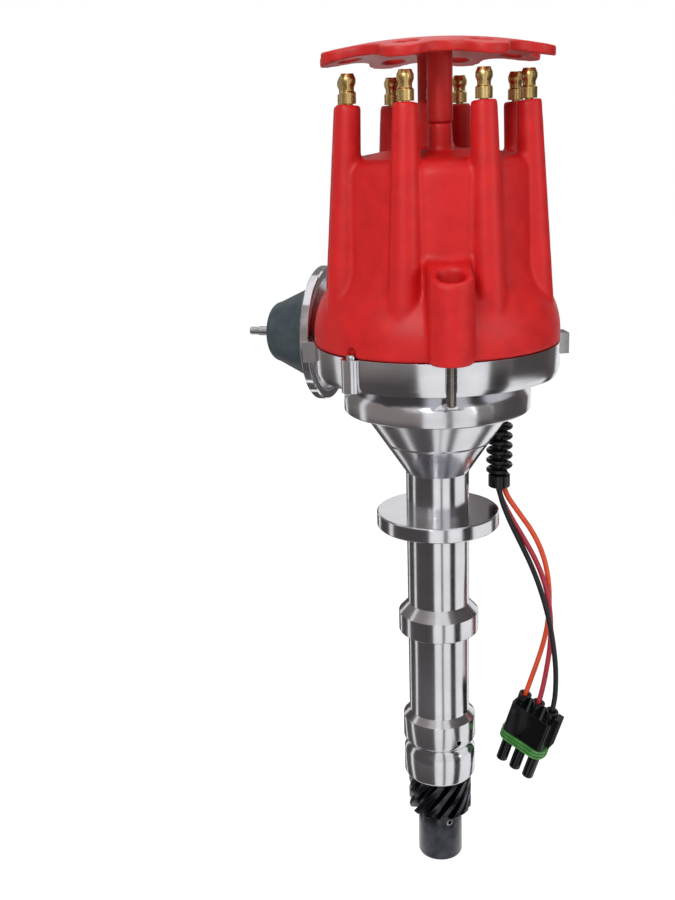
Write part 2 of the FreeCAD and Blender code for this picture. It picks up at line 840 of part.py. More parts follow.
def drive_gear():
    """The toothed part on its pinned hub."""
    bore = doc.addObject("Part::Cylinder", "gear_bore")
    bore.setExpression("Radius", bind("shaft_r"))
    bore.setExpression("Height", bind("gear_face + 2"))
    bore.setExpression("Placement.Base.z", bind("z_gear_end - 1"))
    ring = doc.addObject("Part::Cut", "gear_ring")
    ring.Base = gear_teeth()
    ring.Tool = bore
    hub = body("gear_hub")
    turn_profile(hub, [
        ("shaft_r", "z_hub_end"),
        ("gear_hub_r - gear_hub_round", "z_hub_end"),
        ("gear_hub_r - gear_hub_round * 0.3", "z_hub_end + gear_hub_round * 0.3"),
        ("gear_hub_r", "z_hub_end + gear_hub_round"),
        ("gear_hub_r", "z_gear_end + 1"),
        ("shaft_r", "z_gear_end + 1"),
    ])
    pin_bore(hub)
    whole = doc.addObject("Part::MultiFuse", "drive_gear")
    whole.Label = "drive_gear"
    whole.Shapes = [ring, hub]
    return whole


def gear_roll_pin():
    part = body("gear_roll_pin")
    extrude(part, "2 * gear_hub_r - 0.4", circles=[("0", "z_hub_end + pin_lift", "pin_r"),
                                                   ("0", "z_hub_end + pin_lift", "pin_bore_r")],
            both=True, plane="XZ_Plane", turn="pin_azimuth")
    return part


def centre_cam():
    part = body("centre_cam")
    extrude(part, "weight_h", [
        ("cam_long", "-2"),
        ("cam_long", "2"),
        ("3.4", "cam_wide"),
        ("-3.4", "cam_wide"),
        ("-cam_long", "2"),
        ("-cam_long", "-2"),
        ("-3.4", "-cam_wide"),
        ("3.4", "-cam_wide"),
    ], lift="z_weight")
    extrude(part, "weight_h", circles=[("0", "0", "cam_bore_r")], cut=True, reverse=True,
            lift="z_weight")
    return part


# Upper ball bearing
def groove(x, y, radius, side):
    """Half an octagon round a ball, bulging to +X (side 1) or to -X (side -1)."""
    reach = f"({radius}) / cos(22.5)"
    points = [(x, f"{y} - {reach} * sin(67.5)")]
    for angle in (-67.5, -22.5, 22.5, 67.5):
        points.append((f"{x} + {side} * {reach} * cos({angle})", f"{y} + {reach} * sin({angle})"))
    return points + [(x, f"{y} + {reach} * sin(67.5)")]


def bearing_balls(middle):
    """Balls of flat facets, twelve round and six high, set round the bearing."""
    radius, path_r, level = value("ball_r"), value("ball_path_r"), value(middle)
    count, segments, bands = int(value("ball_count")), 12, 6
    points = [FreeCAD.Vector(0, 0, -radius)]
    for band in range(1, bands):
        tilt = math.pi * band / bands
        for k in range(segments):
            turn = 2 * math.pi * k / segments
            points.append(FreeCAD.Vector(radius * math.sin(tilt) * math.cos(turn),
                                         radius * math.sin(tilt) * math.sin(turn),
                                         -radius * math.cos(tilt)))
    points.append(FreeCAD.Vector(0, 0, radius))
    facets = []
    for k in range(segments):
        after = (k + 1) % segments
        facets.append((0, 1 + after, 1 + k))
        last = 1 + (bands - 2) * segments
        facets.append((last + k, last + after, len(points) - 1))
        for band in range(bands - 2):
            a, b = 1 + band * segments + k, 1 + band * segments + after
            facets += [(a, b, b + segments), (a, b + segments, a + segments)]
    skin = Part.Shape()
    skin.makeShapeFromMesh((points, facets), 0.0001)
    ball = Part.Solid(Part.Shell(skin.Faces))
    ball.translate(FreeCAD.Vector(path_r, 0, level))
    copies = []
    for i in range(count):
        copy = ball.copy()
        copy.rotate(FreeCAD.Vector(), FreeCAD.Vector(0, 0, 1), 360 * i / count)
        copies.append(copy)
    result = doc.addObject("Part::Feature", "bearing_balls")
    result.Label = "bearing_balls"
    result.Shape = Part.Compound(copies)
    return result


def bearing():
    middle = "(z_bearing + z_bearing_top) / 2"
    outer = body("bearing_outer_race")
    ring(outer, "ball_path_r + race_gap", "bearing_r", "z_bearing", "z_bearing_top")
    turn_profile(outer, groove("ball_path_r", middle, "ball_r + running_fit", 1), cut=True)
    inner = body("bearing_inner_race")
    ring(inner, "shaft_r", "ball_path_r - race_gap", "z_bearing", "z_bearing_top")
    turn_profile(inner, groove("ball_path_r", middle, "ball_r + running_fit", -1), cut=True)
    balls = bearing_balls(middle)
    cage = body("bearing_cage")
    ring(cage, "ball_path_r - cage_r", "ball_path_r + cage_r", middle + " - cage_w / 2",
         middle + " + cage_w / 2")
    window = extrude(cage, "bearing_r", circles=[("0", middle, "ball_r + free_gap")], cut=True,
                     reverse=True, plane="XZ_Plane", turn="90")
    around(cage, [window], "ball_count")
    snap = body("bearing_snap_ring")
    ring(snap, "bearing_r + snap_depth - snap_reach", "bearing_r + snap_depth", "z_snap",
         "z_snap + snap_w")
    split_ring(snap, "z_snap", "snap_w", "bearing_r + snap_depth + 1")
    return [outer, inner, balls, cage, snap]


def split_ring(part, low, height, reach):
    """Opens a retaining ring on its +X side."""
    extrude(part, height, [("4", "-2.5"), (reach, "-2.5"), (reach, "2.5"), ("4", "2.5")], cut=True,
            reverse=True, lift=low)


def plate_clip():
    part = body("plate_clip")
    inner = "hub_r - clip_depth"
    ring(part, inner, inner + " + clip_reach + clip_depth", "z_clip", "z_clip + plate_clip_h")
    split_ring(part, "z_clip", "plate_clip_h", "hub_r + clip_reach + 1")
    return part


# Centrifugal advance: the base turns on the shaft, driven by two weights
def advance_base():
    part = body("advance_base")
    bore = "shaft_r + running_fit"
    turn_profile(part, [
        (bore, "z_sleeve"),
        (bore + " + sleeve_wall", "z_sleeve"),
        (bore + " + sleeve_wall", "z_base_top - base_h"),
        ("base_r", "z_base_top - base_h"),
        ("base_r", "z_base_top"),
        (bore, "z_base_top"),
    ])
    side = extrude(part, "base_h + 1", [
        ("rotor_foot_r + 2", "weight_out_r - 6"),
        ("base_r + 1", "weight_out_r - 6"),
        ("base_r + 1", "base_r + 1"),
        ("rotor_foot_r + 2", "base_r + 1"),
    ], cut=True, lift="z_base_top + 0.5")
    around(part, [side], "2")
    holes = [(*weight_pivot(turn), "weight_pin_r") for turn in ("0", "180")]
    for side in (-1, 1):
        holes.append(("0", f"{side} * rotor_foot_at", "small_screw_r"))
    extrude(part, "base_h", circles=holes, cut=True, lift="z_base_top")
    return part


def weight_pivot(turn):
    return polar("weight_pin_at", "weight_pin_turn + " + turn)


def weight_pins():
    part = body("weight_pins")
    circles = [(*weight_pivot(turn), "weight_pin_r") for turn in ("0", "180")]
    extrude(part, "base_h + free_gap + weight_h + weight_pin_over", circles=circles,
            lift="z_base_top - base_h")
    return part


def weight(label, turn):
    part = body(label)
    low, high = f"{turn} - weight_half_turn", f"{turn} + weight_half_turn"
    extrude(part, "weight_h", [
        polar("weight_in_r", low),
        polar("weight_out_r", low) + ("weight_out_r", 1),
        polar("weight_out_r", high),
        polar("weight_in_r", high) + ("weight_in_r", -1),
    ], lift="z_weight")
    extrude(part, "weight_h", circles=[(*weight_pivot(turn), "weight_pin_r + running_fit")], cut=True,
            reverse=True, lift="z_weight")
    return part


def advance_springs():
    """Two tension springs above the weights, from the weights' far ends towards the centre."""
    placements = []
    for turn in (0, 180):
        start = FreeCAD.Rotation(FreeCAD.Vector(0, 0, 1), turn)
        spot = start.multVec(FreeCAD.Vector(value("weight_in_r") + 4, -11, value("z_weight_top") + 1.9))
        placements.append(FreeCAD.Placement(spot, start.multiply(FreeCAD.Rotation(100, 90, 0))))
    return spring_pair("advance_springs", placements, radius="1.1", wire="0.3", low="0", high="12", turns=6)


def reluctor():
    part = body("reluctor")
    low = "z_sleeve + reluctor_lift"
    ring(part, "shaft_r + running_fit + sleeve_wall", "reluctor_hub_r", low, low + " + reluctor_h")
    tooth = extrude(part, "reluctor_h", [
        ("reluctor_hub_r - 2", "-reluctor_tooth_w / 2"),
        ("reluctor_r", "-reluctor_tooth_w / 2"),
        ("reluctor_r", "reluctor_tooth_w / 2"),
        ("reluctor_hub_r - 2", "reluctor_tooth_w / 2"),
    ], lift=low)
    around(part, [tooth], "reluctor_teeth")
    return part


def rotor():
    part = body("rotor")
    low = "z_rotor"
    turn_profile(part, [
        ("cam_bore_r + 1", low),
        ("rotor_disc_r", low),
        ("rotor_disc_r", low + " + rotor_disc_h - 1"),
        ("rotor_disc_r - 1", low + " + rotor_disc_h"),
        ("rotor_hub_r + 2", low + " + rotor_disc_h"),
        ("rotor_hub_r", low + " + rotor_disc_h + 2"),
        ("rotor_hub_r - 1", "z_blade"),
        ("0", "z_blade"),
        ("0", low + " + rotor_disc_h"),
        ("cam_bore_r + 1", low + " + rotor_disc_h"),
    ])
    feet = extrude(part, "z_rotor - z_base_top + 1", circles=[("0", "rotor_foot_at", "rotor_foot_r")],
                   lift="z_base_top")
    around(part, [feet], "2")
    hole = extrude(part, "z_rotor + rotor_disc_h - z_base_top",
                   circles=[("0", "rotor_foot_at", "small_screw_r")], cut=True,
                   lift="z_rotor + rotor_disc_h")
    around(part, [hole], "2")
    return part


def rotor_blade():
    part = body("rotor_blade")
    tip = "segment_in - rotor_spark_gap"
    contact = "z_button_boss - button_out - free_gap"
    extrude(part, "blade_w", [
        ("-rotor_hub_r + 1.5", "z_blade"),
        (tip, "z_blade"),
        (tip, "z_blade + blade_h"),
        ("rotor_hub_r", "z_blade + blade_h"),
        ("3", contact),
        ("-3", contact),
        ("-3", contact + " - blade_h"),
        ("2", contact + " - blade_h"),
        ("rotor_hub_r - 3", "z_blade + blade_h"),
        ("-rotor_hub_r + 1.5", "z_blade + blade_h"),
    ], both=True, plane="XZ_Plane")
    return part


def rotor_screws():
    part = body("rotor_screws")
    low = "z_base_top - base_h"
    head = "z_rotor + rotor_disc_h"
    first = screw(part, "small_screw_r", "small_head_r", "small_head_h", low, head,
                  shift="rotor_foot_at", turn="90")
    around(part, [first], "2")
    return part


def screw(part, shank, head, head_h, low, seat, shift="0", turn="0"):
    """A pan-head screw turned about an upright axis."""
    feature = turn_profile(part, [
        ("0", low),
        (shank, low),
        (shank, seat),
        (head, seat),
        (head, f"{seat} + {head_h} * 0.6"),
        (f"{head} * 0.8", f"{seat} + {head_h}"),
        ("0", f"{seat} + {head_h}"),
    ])
    profile = feature.Profile[0]
    turned = FreeCAD.Rotation(FreeCAD.Vector(0, 1, 0), value(turn))
    profile.AttachmentOffset = FreeCAD.Placement(FreeCAD.Vector(), turned)
    profile.setExpression("AttachmentOffset.Base.x", bind(f"({shift}) * cos({turn})"))
    profile.setExpression("AttachmentOffset.Base.z", bind(f"-({shift}) * sin({turn})"))
    return feature


# Pickup: a plate that the vacuum canister turns, with its coil
def pickup_plate():
    part = body("pickup_plate")
    bore = "hub_r + running_fit"
    turn_profile(part, [
        (bore, "z_plate"),
        ("plate_r", "z_plate"),
        ("plate_r", "z_plate + plate_h"),
        ("plate_hub_r", "z_plate + plate_h"),
        ("plate_hub_r", "z_plate + plate_hub_h"),
        (bore, "z_plate + plate_hub_h"),
    ])
    extrude(part, "plate_h", [
        polar("plate_hub_r", "pickup_azimuth - 20"),
        polar("pickup_out + 0.5", "pickup_azimuth - 16"),
        polar("pickup_out + 0.5", "pickup_azimuth + 16"),
        polar("plate_hub_r", "pickup_azimuth + 20"),
    ], lift="z_plate")
    pin = polar("canister_off", "link_rest_turn")
    extrude(part, "z_canister + link_r + 0.4 - z_plate", circles=[(*pin, "link_pin_r")], lift="z_plate")
    return part


def pickup_coil():
    """Magnet foot, upright pole and the bobbin round it."""
    part = body("pickup_coil")
    seat = "z_plate + plate_h"
    half = "pickup_w / 2"
    turned = dict(turn="pickup_azimuth")
    extrude(part, "pickup_foot_h", [
        ("pickup_in + 2", f"-{half}"),
        ("pickup_out", f"-{half}"),
        ("pickup_out", half),
        ("pickup_in + 2", half),
    ], lift=seat, **turned)
    top = "z_sleeve + reluctor_lift + reluctor_h"
    extrude(part, f"{top} - ({seat})", [
        ("pickup_out - 4", "-pickup_pole_w"),
        ("pickup_out", "-pickup_pole_w"),
        ("pickup_out", "pickup_pole_w"),
        ("pickup_out - 4", "pickup_pole_w"),
    ], lift=seat, **turned)
    extrude(part, "reluctor_h - 1", [
        ("reluctor_r + 0.8", "-pickup_pole_w / 2"),
        ("pickup_out - 3", "-pickup_pole_w / 2"),
        ("pickup_out - 3", "pickup_pole_w / 2"),
        ("reluctor_r + 0.8", "pickup_pole_w / 2"),
    ], lift=top + " - reluctor_h + 0.5", **turned)
    extrude(part, "reluctor_h + 3", [
        ("pickup_in + 2.5", "-pickup_coil_r"),
        ("pickup_out - 4", "-pickup_coil_r"),
        ("pickup_out - 4", "pickup_coil_r"),
        ("pickup_in + 2.5", "pickup_coil_r"),
    ], lift=top + " - reluctor_h - 1.5", **turned)
    holes = [("pickup_out - 3", f"{s} * (pickup_w / 2 - 2.2)", "small_screw_r") for s in (-1, 1)]
    extrude(part, "pickup_foot_h", circles=holes, cut=True, reverse=True, lift=seat, **turned)
    return part


def pickup_screws():
    part = body("pickup_screws")
    seat = "z_plate + plate_h + pickup_foot_h"
    for side in (-1, 1):
        spot = ("pickup_out - 3", f"{side} * (pickup_w / 2 - 2.2)")
        extrude(part, "pickup_foot_h", circles=[(*spot, "small_screw_r")], lift="z_plate + plate_h",
                turn="pickup_azimuth")
        extrude(part, "small_head_h", circles=[(*spot, "small_head_r - 0.4")], lift=seat,
                turn="pickup_azimuth")
    return part


def ignition_module():
    part = body("ignition_module")
    low, high = "module_azimuth - module_half_turn", "module_azimuth + module_half_turn"
    extrude(part, "module_h", [
        polar("module_in", low),
        polar("module_out", low) + ("module_out", 1),
        polar("module_out", high),
        polar("module_in", high) + ("module_in", -1),
    ], lift="z_floor")
    spots = [(*polar("(module_in + module_out) / 2", f"module_azimuth + {s} * module_screw_turn"),
              "small_screw_r") for s in (-1, 1)]
    extrude(part, "module_h", circles=spots, cut=True, reverse=True, lift="z_floor")
    return part


def module_screws():
    part = body("module_screws")
    spots = [polar("(module_in + module_out) / 2", f"module_azimuth + {s} * module_screw_turn")
             for s in (-1, 1)]
    for spot in spots:
        extrude(part, "module_h + bowl_floor - 1", circles=[(*spot, "small_screw_r")],
                lift="z_floor - bowl_floor + 1")
        extrude(part, "small_head_h", circles=[(*spot, "small_head_r")], lift="z_floor + module_h")
    return part


# Cap: one moulding over brass inserts
def cap_terminals():
    part = body("cap_terminals")
    foot = "z_top + segment_foot"
    stud = turn_profile(part, [
        ("0", foot),
        ("terminal_stem_r", foot),
        ("terminal_stem_r", "z_tower + terminal_undercut"),
        ("terminal_collar_r", "z_tower + terminal_undercut"),
        ("terminal_collar_r", "z_tower + terminal_collar_h"),
        ("terminal_neck_r", "z_tower + terminal_collar_h + 0.6"),
        ("terminal_neck_r", "z_tower + terminal_neck_h"),
        ("terminal_collar_r", "z_tower + terminal_neck_h + 1.6"),
        ("terminal_collar_r", "z_tower + terminal_bulge_h"),
        ("terminal_tip_r", "z_tower + terminal_h"),
        ("0", "z_tower + terminal_h"),
    ], shift="tower_at")
    segment = extrude(part, "segment_h", [
        ("segment_in", "-segment_w / 2"),
        ("tower_at + 1", "-segment_w / 2"),
        ("tower_at + 1", "segment_w / 2"),
        ("segment_in", "segment_w / 2"),
    ], lift=foot)
    around(part, [stud, segment], "tower_count")
    place(part, rotation=FreeCAD.Rotation(value("tower_turn"), 0, 0))
    return part


def coil_terminal():
    part = body("coil_terminal")
    low = "z_top + coil_tower_lift"
    turn_profile(part, [
        ("0", "z_roof - 2"),
        ("terminal_stem_r", "z_roof - 2"),
        ("terminal_stem_r", low),
        ("terminal_collar_r", low),
        ("terminal_collar_r", low + " + terminal_collar_h"),
        ("terminal_neck_r", low + " + terminal_collar_h + 0.6"),
        ("terminal_neck_r", low + " + terminal_neck_h"),
        ("terminal_collar_r", low + " + terminal_neck_h + 2"),
        ("terminal_tip_r", low + " + terminal_h"),
        ("0", low + " + terminal_h"),
    ])
    return part


def cap_moulding():
    part = body("cap_moulding")
    turn_profile(part, [
        ("0", "z_top"),
        ("rim_r", "z_top"),
        ("rim_r", "z_top + cap_lip_h",
         "((rim_r - cap_flare_r)^2 + (cap_flare_rise - cap_lip_h)^2) / (2 * (rim_r - cap_flare_r))", 1),
        ("cap_flare_r", "z_flare",
         "((cap_flare_r - cap_waist_r)^2 + cap_waist_rise^2) / (2 * (cap_flare_r - cap_waist_r))", -1),
        ("cap_waist_r", "z_waist"),
        ("cap_shoulder_r", "z_shoulder",
         "((cap_shoulder_r - cap_crown_r)^2 + cap_shoulder_rise^2) / (2 * (cap_shoulder_r - cap_crown_r))", 1),
        ("cap_crown_r", "z_crown"),
        ("cap_crown_r * 0.6", "z_crown + cap_crown_rise * 0.8"),
        ("coil_tower_r", "z_crown + cap_crown_rise"),
        ("0", "z_crown + cap_crown_rise"),
    ])
    tower = leaning_cone(part, ("tower_foot_at", "z_top + tower_foot_lift"), ("tower_at", "z_tower"),
                         "tower_foot_r", "tower_top_r", "tower_turn")
    around(part, [tower], "tower_count")
    web = "-(cap_waist_r - cap_wall / 2)"
    boss = extrude(part, "latch_boss_h", [
        ("-latch_boss_r", web),
        ("-latch_boss_r", "-latch_at", "latch_boss_r * 1.00001", 1),
        ("latch_boss_r", "-latch_at"),
        ("latch_boss_r", web),
    ], lift="z_top")
    reach = "latch_at + latch_boss_r + 1"
    fall = f"({reach} - cap_waist_r) * tan(latch_boss_slope)"
    crest = "z_top + latch_boss_h"
    slant = extrude(part, "2 * latch_boss_r + 0.2", [
        ("-cap_waist_r", crest),
        (f"-({reach})", f"{crest} - {fall}"),
        (f"-({reach})", f"{crest} + 2"),
        ("-cap_waist_r", f"{crest} + 2"),
    ], cut=True, both=True, plane="YZ_Plane")
    hole = extrude(part, "latch_boss_h - latch_floor", circles=[("0", "-latch_at", "latch_hole_r")],
                   cut=True, lift=crest)
    drill = extrude(part, "latch_floor + 1", circles=[("0", "-latch_at", "latch_rod_r + free_gap")],
                    cut=True, lift="z_latch_floor + 0.5")
    around(part, [boss, slant, hole, drill], "2")
    turn_profile(part, [
        ("0", "z_roof + 1"),
        ("coil_tower_r", "z_roof + 1"),
        ("coil_tower_top_r", "z_top + coil_tower_lift"),
        ("0", "z_top + coil_tower_lift"),
    ])
    posts = [("0", f"{s} * post_at", "post_r") for s in (-1, 1)]
    extrude(part, "z_post - z_roof - 1", circles=posts, lift="z_roof + 1")
    turn_profile(part, [
        ("0", "z_top - 1"),
        ("bowl_r - 1", "z_top - 1"),
        ("bowl_r - 1", "z_top + cap_lip_h"),
        ("cap_flare_r - cap_wall", "z_flare - 1"),
        ("cap_waist_r - cap_wall", "z_waist - 1"),
        ("cap_shoulder_r - cap_wall", "z_shoulder - 3"),
        ("cap_crown_r - cap_wall", "z_roof"),
        ("button_boss_r", "z_roof"),
        ("button_boss_r", "z_button_boss"),
        ("0", "z_button_boss"),
    ], cut=True)
    ring(part, "bowl_r - 1 - 0.01", "bowl_r - running_fit", "z_top - cap_spigot_h", "z_top + 0.01")
    extrude(part, "button_boss_drop - 2", circles=[("0", "0", "button_r + running_fit")], cut=True,
            reverse=True, lift="z_button_boss")
    extrude(part, "retainer_screw_grip", circles=[(x, y, "retainer_screw_r") for x, y, _ in posts],
            cut=True, lift="z_post")
    extrude(part, "cap_lip_h + cap_spigot_h", circles=[
        (*polar("index_at", "index_azimuth"), "index_head_r + free_gap")], cut=True, reverse=True,
        lift="z_top - cap_spigot_h")
    return part


def distributor_cap(terminals, centre):
    """The moulding with the room that its inserts take."""
    inserts = doc.addObject("Part::Compound", "cap_inserts")
    inserts.Links = [terminals, centre]
    cap = doc.addObject("Part::Cut", "distributor_cap")
    cap.Label = "distributor_cap"
    cap.Base = cap_moulding()
    cap.Tool = inserts
    return cap


def carbon_button():
    part = body("carbon_button")
    turn_profile(part, [
        ("0", "z_button_boss - button_out"),
        ("button_r - 0.8", "z_button_boss - button_out"),
        ("button_r", "z_button_boss - button_out + 0.8"),
        ("button_r", "z_button_boss - button_out + button_len"),
        ("0", "z_button_boss - button_out + button_len"),
    ])
    return part


def button_spring():
    return coil("button_spring", "button_r - 0.9", "button_spring_wire_r",
                "z_button_boss - button_out + button_len + free_gap", "z_roof - 2 - free_gap", 3)


# Cap latches: a sprung rod with a hook under the rim, one at each side
def latch(label, turn):
    part = body(label)
    bottom = "z_hook - latch_hook_r"
    head = "z_latch_head"
    turn_profile(part, [
        ("0", bottom),
        ("latch_rod_r - edge_break", bottom),
        ("latch_rod_r", bottom + " + edge_break"),
        ("latch_rod_r", head),
        ("latch_head_r", head),
        ("latch_head_r", head + " + latch_head_h - edge_break"),
        ("latch_head_r - edge_break", head + " + latch_head_h"),
        ("0", head + " + latch_head_h"),
    ])
    extrude(part, "latch_hook_len", circles=[("0", "z_hook", "latch_hook_r")], reverse=True,
            plane="XZ_Plane")
    extrude(part, "latch_head_h / 2", [
        ("-latch_head_r - 1", "-latch_slot_w / 2"),
        ("latch_head_r + 1", "-latch_slot_w / 2"),
        ("latch_head_r + 1", "latch_slot_w / 2"),
        ("-latch_head_r - 1", "latch_slot_w / 2"),
    ], cut=True, lift=head + " + latch_head_h")
    at_latch(part, turn)
    return part


def at_latch(part, turn):
    spin = FreeCAD.Rotation(turn, 0, 0)
    spot = spin.multVec(FreeCAD.Vector(0, -value("latch_at"), 0))
    part.Placement = FreeCAD.Placement(spot, spin)


def latch_washer(label, turn):
    part = ring_node(label, "latch_rod_r + running_fit", "latch_head_r", "z_washer",
                     "z_washer + latch_washer_h")
    at_latch(part, turn)
    return part


def latch_spring(label, turn):
    spring = coil(label, "latch_head_r - 1.2", "latch_spring_wire_r", "z_latch_floor + free_gap",
                  "z_washer - free_gap", 4)
    at_latch(spring, turn)
    return spring


# Wire retainer: a domed plate with a scalloped rim, on two legs
def wire_retainer():
    part = body("wire_retainer")
    half = 180 / value("tower_count")
    across = f"(scallop_at * sin({half}))"
    out = f"(scallop_at * cos({half}) - lobe_at)"
    span = f"sqrt({across}^2 + {out}^2)"
    tangent_x = f"(lobe_at + lobe_r * {out} / {span})"
    tangent_y = f"(lobe_r * {across} / {span})"
    points = []
    for k in range(int(value("tower_count"))):
        turn = f"(tower_turn + {2 * half * k})"
        for side, radius, way in ((-1, "lobe_r", 1), (1, f"{span} - lobe_r", -1)):
            x = f"{tangent_x} * cos({turn}) - {side} * {tangent_y} * sin({turn})"
            y = f"{tangent_x} * sin({turn}) + {side} * {tangent_y} * cos({turn})"
            points.append((x, y, radius, way))
    extrude(part, "retainer_crown + retainer_h + 2", points, lift="z_retainer - 1")
    edge = "z_retainer + retainer_h"
    over = "(retainer_r + 3)"
    rim_fall = f"(dome_r - sqrt(dome_r^2 - {over}^2))"
    turn_profile(part, [
        ("0", f"{edge} + retainer_crown + 3"),
        ("0", f"{edge} + retainer_crown", "dome_r", -1),
        (over, f"{edge} + retainer_crown - {rim_fall}"),
        (over, f"{edge} + retainer_crown + 3"),
    ], cut=True)
    under_fall = f"(dome_under_r - sqrt(dome_under_r^2 - {over}^2))"
    under_top = "z_retainer + retainer_crown_fall"
    turn_profile(part, [
        ("0", "z_retainer - 3"),
        (over, "z_retainer - 3"),
        (over, f"{under_top} - {under_fall}", "dome_under_r", 1),
        ("0", under_top),
    ], cut=True)
    legs = [("0", f"{s} * post_at", "leg_r") for s in (-1, 1)]
    extrude(part, f"{under_top} - z_post", circles=legs, lift="z_post")
    holes = extrude(part, "retainer_crown + retainer_h + 4",
                    circles=[(*polar("wire_hole_at", "tower_turn"), "wire_hole_r")], cut=True,
                    reverse=True, lift="z_retainer - 2")
    around(part, [holes], "tower_count")
    extrude(part, f"{edge} + retainer_crown - z_post + 1",
            circles=[(x, y, "retainer_screw_r") for x, y, _ in legs], cut=True, reverse=True,
            lift="z_post - 0.5")
    extrude(part, "retainer_head_h + 2", circles=[(x, y, "retainer_head_r") for x, y, _ in legs],
            cut=True, reverse=True, lift=f"{edge} + retainer_crown - retainer_head_h - 1.2")
    return part


def retainer_screws():
    part = body("retainer_screws")
    seat = "z_retainer + retainer_h + retainer_crown - retainer_head_h - 1.2"
    spots = [("0", f"{s} * post_at") for s in (-1, 1)]
    extrude(part, f"{seat} - z_post + retainer_screw_grip",
            circles=[(*spot, "retainer_screw_r") for spot in spots],
            lift="z_post - retainer_screw_grip")
    extrude(part, "retainer_head_h", circles=[(*spot, "retainer_head_r") for spot in spots], lift=seat)
    for _, y in spots:
        corners = [polar("retainer_screw_r", str(60 * k)) for k in range(6)]
        extrude(part, "retainer_head_h / 2", [(x, f"{cy} + {y}") for x, cy in corners], cut=True,
                lift=f"{seat} + retainer_head_h")
    return part


def index_screw():
    part = body("index_screw")
    screw(part, "index_screw_r", "index_head_r", "index_head_h", "z_top - index_screw_len", "z_top")
    place(part, *polar("index_at", "index_azimuth"))
    return part


# Vacuum canister: its pieces are turned about their own axis, w from the back plate outwards
def on_canister(part, lift="0"):
    """Lays a piece made about Z along the canister's axis."""
    x, y = beside_canister(f"canister_stand + {lift}", "-canister_off")
    place(part, x, y, "z_canister", FreeCAD.Rotation(value("canister_azimuth"), 90, 0))
    return part


def canister():
    inner_r = "canister_r - crimp_t - free_gap"
    seam = "shell_depth"
    back = body("canister_back_shell")
    turn_profile(back, [
        ("link_r + 2", "0"),
        ("shell_flat_r", "0"),
        ("canister_r - crimp_lip - 0.4", seam),
        (inner_r, f"{seam}"),
        (inner_r, f"{seam} + shell_t"),
        ("canister_r - crimp_lip - 0.8", f"{seam} + shell_t"),
        ("shell_flat_r - 0.4", "shell_t"),
        ("link_r + 2", "shell_t"),
    ])
    rubber = f"{seam} + shell_t"
    diaphragm = body("diaphragm")
    turn_profile(diaphragm, [
        ("link_r + free_gap", "shell_t + 1.1"),
        ("15", "shell_t + 1.1"),
        ("16.4", f"{rubber} + 0.9"),
        ("18.2", f"{rubber} + 0.9"),
        ("19.4", rubber),
        (inner_r, rubber),
        (inner_r, f"{rubber} + shell_t"),
        ("19.8", f"{rubber} + shell_t"),
        ("18.6", f"{rubber} + 0.9 + shell_t"),
        ("16", f"{rubber} + 0.9 + shell_t"),
        ("14.6", "shell_t + 1.7"),
        ("link_r + free_gap", "shell_t + 1.7"),
    ])
    base = f"{rubber} + shell_t"
    nose = body("canister_nose")
    wall = "nose_wall"
    tip = f"{base} + nose_len"
    turn_profile(nose, [
        (inner_r, base),
        (inner_r, f"{base} + shell_t"),
        ("nose_base_r + 0.8", f"{base} + shell_t"),
        ("nose_base_r", f"{base} + shell_t + 0.8"),
        ("nose_round_r", f"{tip} - nose_round_len",
         "((nose_round_r - nose_end_r)^2 + nose_round_len^2) / (2 * nose_round_len) * 1.15", 1),
        ("nose_end_r", tip),
        ("nipple_neck_r", tip),
        ("nipple_neck_r", f"{tip} - {wall}"),
        (f"nose_end_r - {wall} / 2", f"{tip} - {wall}"),
        (f"nose_round_r - {wall}", f"{tip} - nose_round_len - {wall} / 2"),
        (f"nose_base_r - {wall}", base),
    ])
    crimp = body("canister_crimp_ring")
    start = f"{seam} - free_gap / 2 - crimp_t"
    end = f"{base} + shell_t + free_gap / 2 + crimp_t"
    turn_profile(crimp, [
        ("canister_r - crimp_lip", start),
        ("canister_r - 0.5", start),
        ("canister_r", f"{start} + 0.5"),
        ("canister_r", f"{end} - 0.5"),
        ("canister_r - 0.5", end),
        ("canister_r - crimp_lip", end),
        ("canister_r - crimp_lip", f"{end} - crimp_t"),
        ("canister_r - crimp_t", f"{end} - crimp_t"),
        ("canister_r - crimp_t", f"{start} + crimp_t"),
        ("canister_r - crimp_lip", f"{start} + crimp_t"),
    ])
    nipple = body("vacuum_nipple")
    turn_profile(nipple, [
        ("nipple_bore_r", f"{tip} - {wall} - 0.8"),
        ("nipple_r + 1.6", f"{tip} - {wall} - 0.8"),
        ("nipple_r + 1.6", f"{tip} - {wall}"),
        ("nipple_neck_r", f"{tip} - {wall}"),
        ("nipple_neck_r", tip),
        ("nipple_r", tip),
        ("nipple_r", f"{tip} + nipple_len - nipple_tip_len"),
        ("nipple_tip_r", f"{tip} + nipple_len - nipple_tip_len + 0.4"),
        ("nipple_tip_r", f"{tip} + nipple_len"),
        ("nipple_bore_r", f"{tip} + nipple_len"),
    ])
    spring = coil("diaphragm_spring", "diaphragm_spring_r", "diaphragm_spring_wire_r",
                  "shell_t + 3.1 + free_gap", f"{tip} - {wall} - free_gap", 5)
    pieces = [back, diaphragm, nose, crimp, nipple, spring]
    return [on_canister(piece) for piece in pieces]


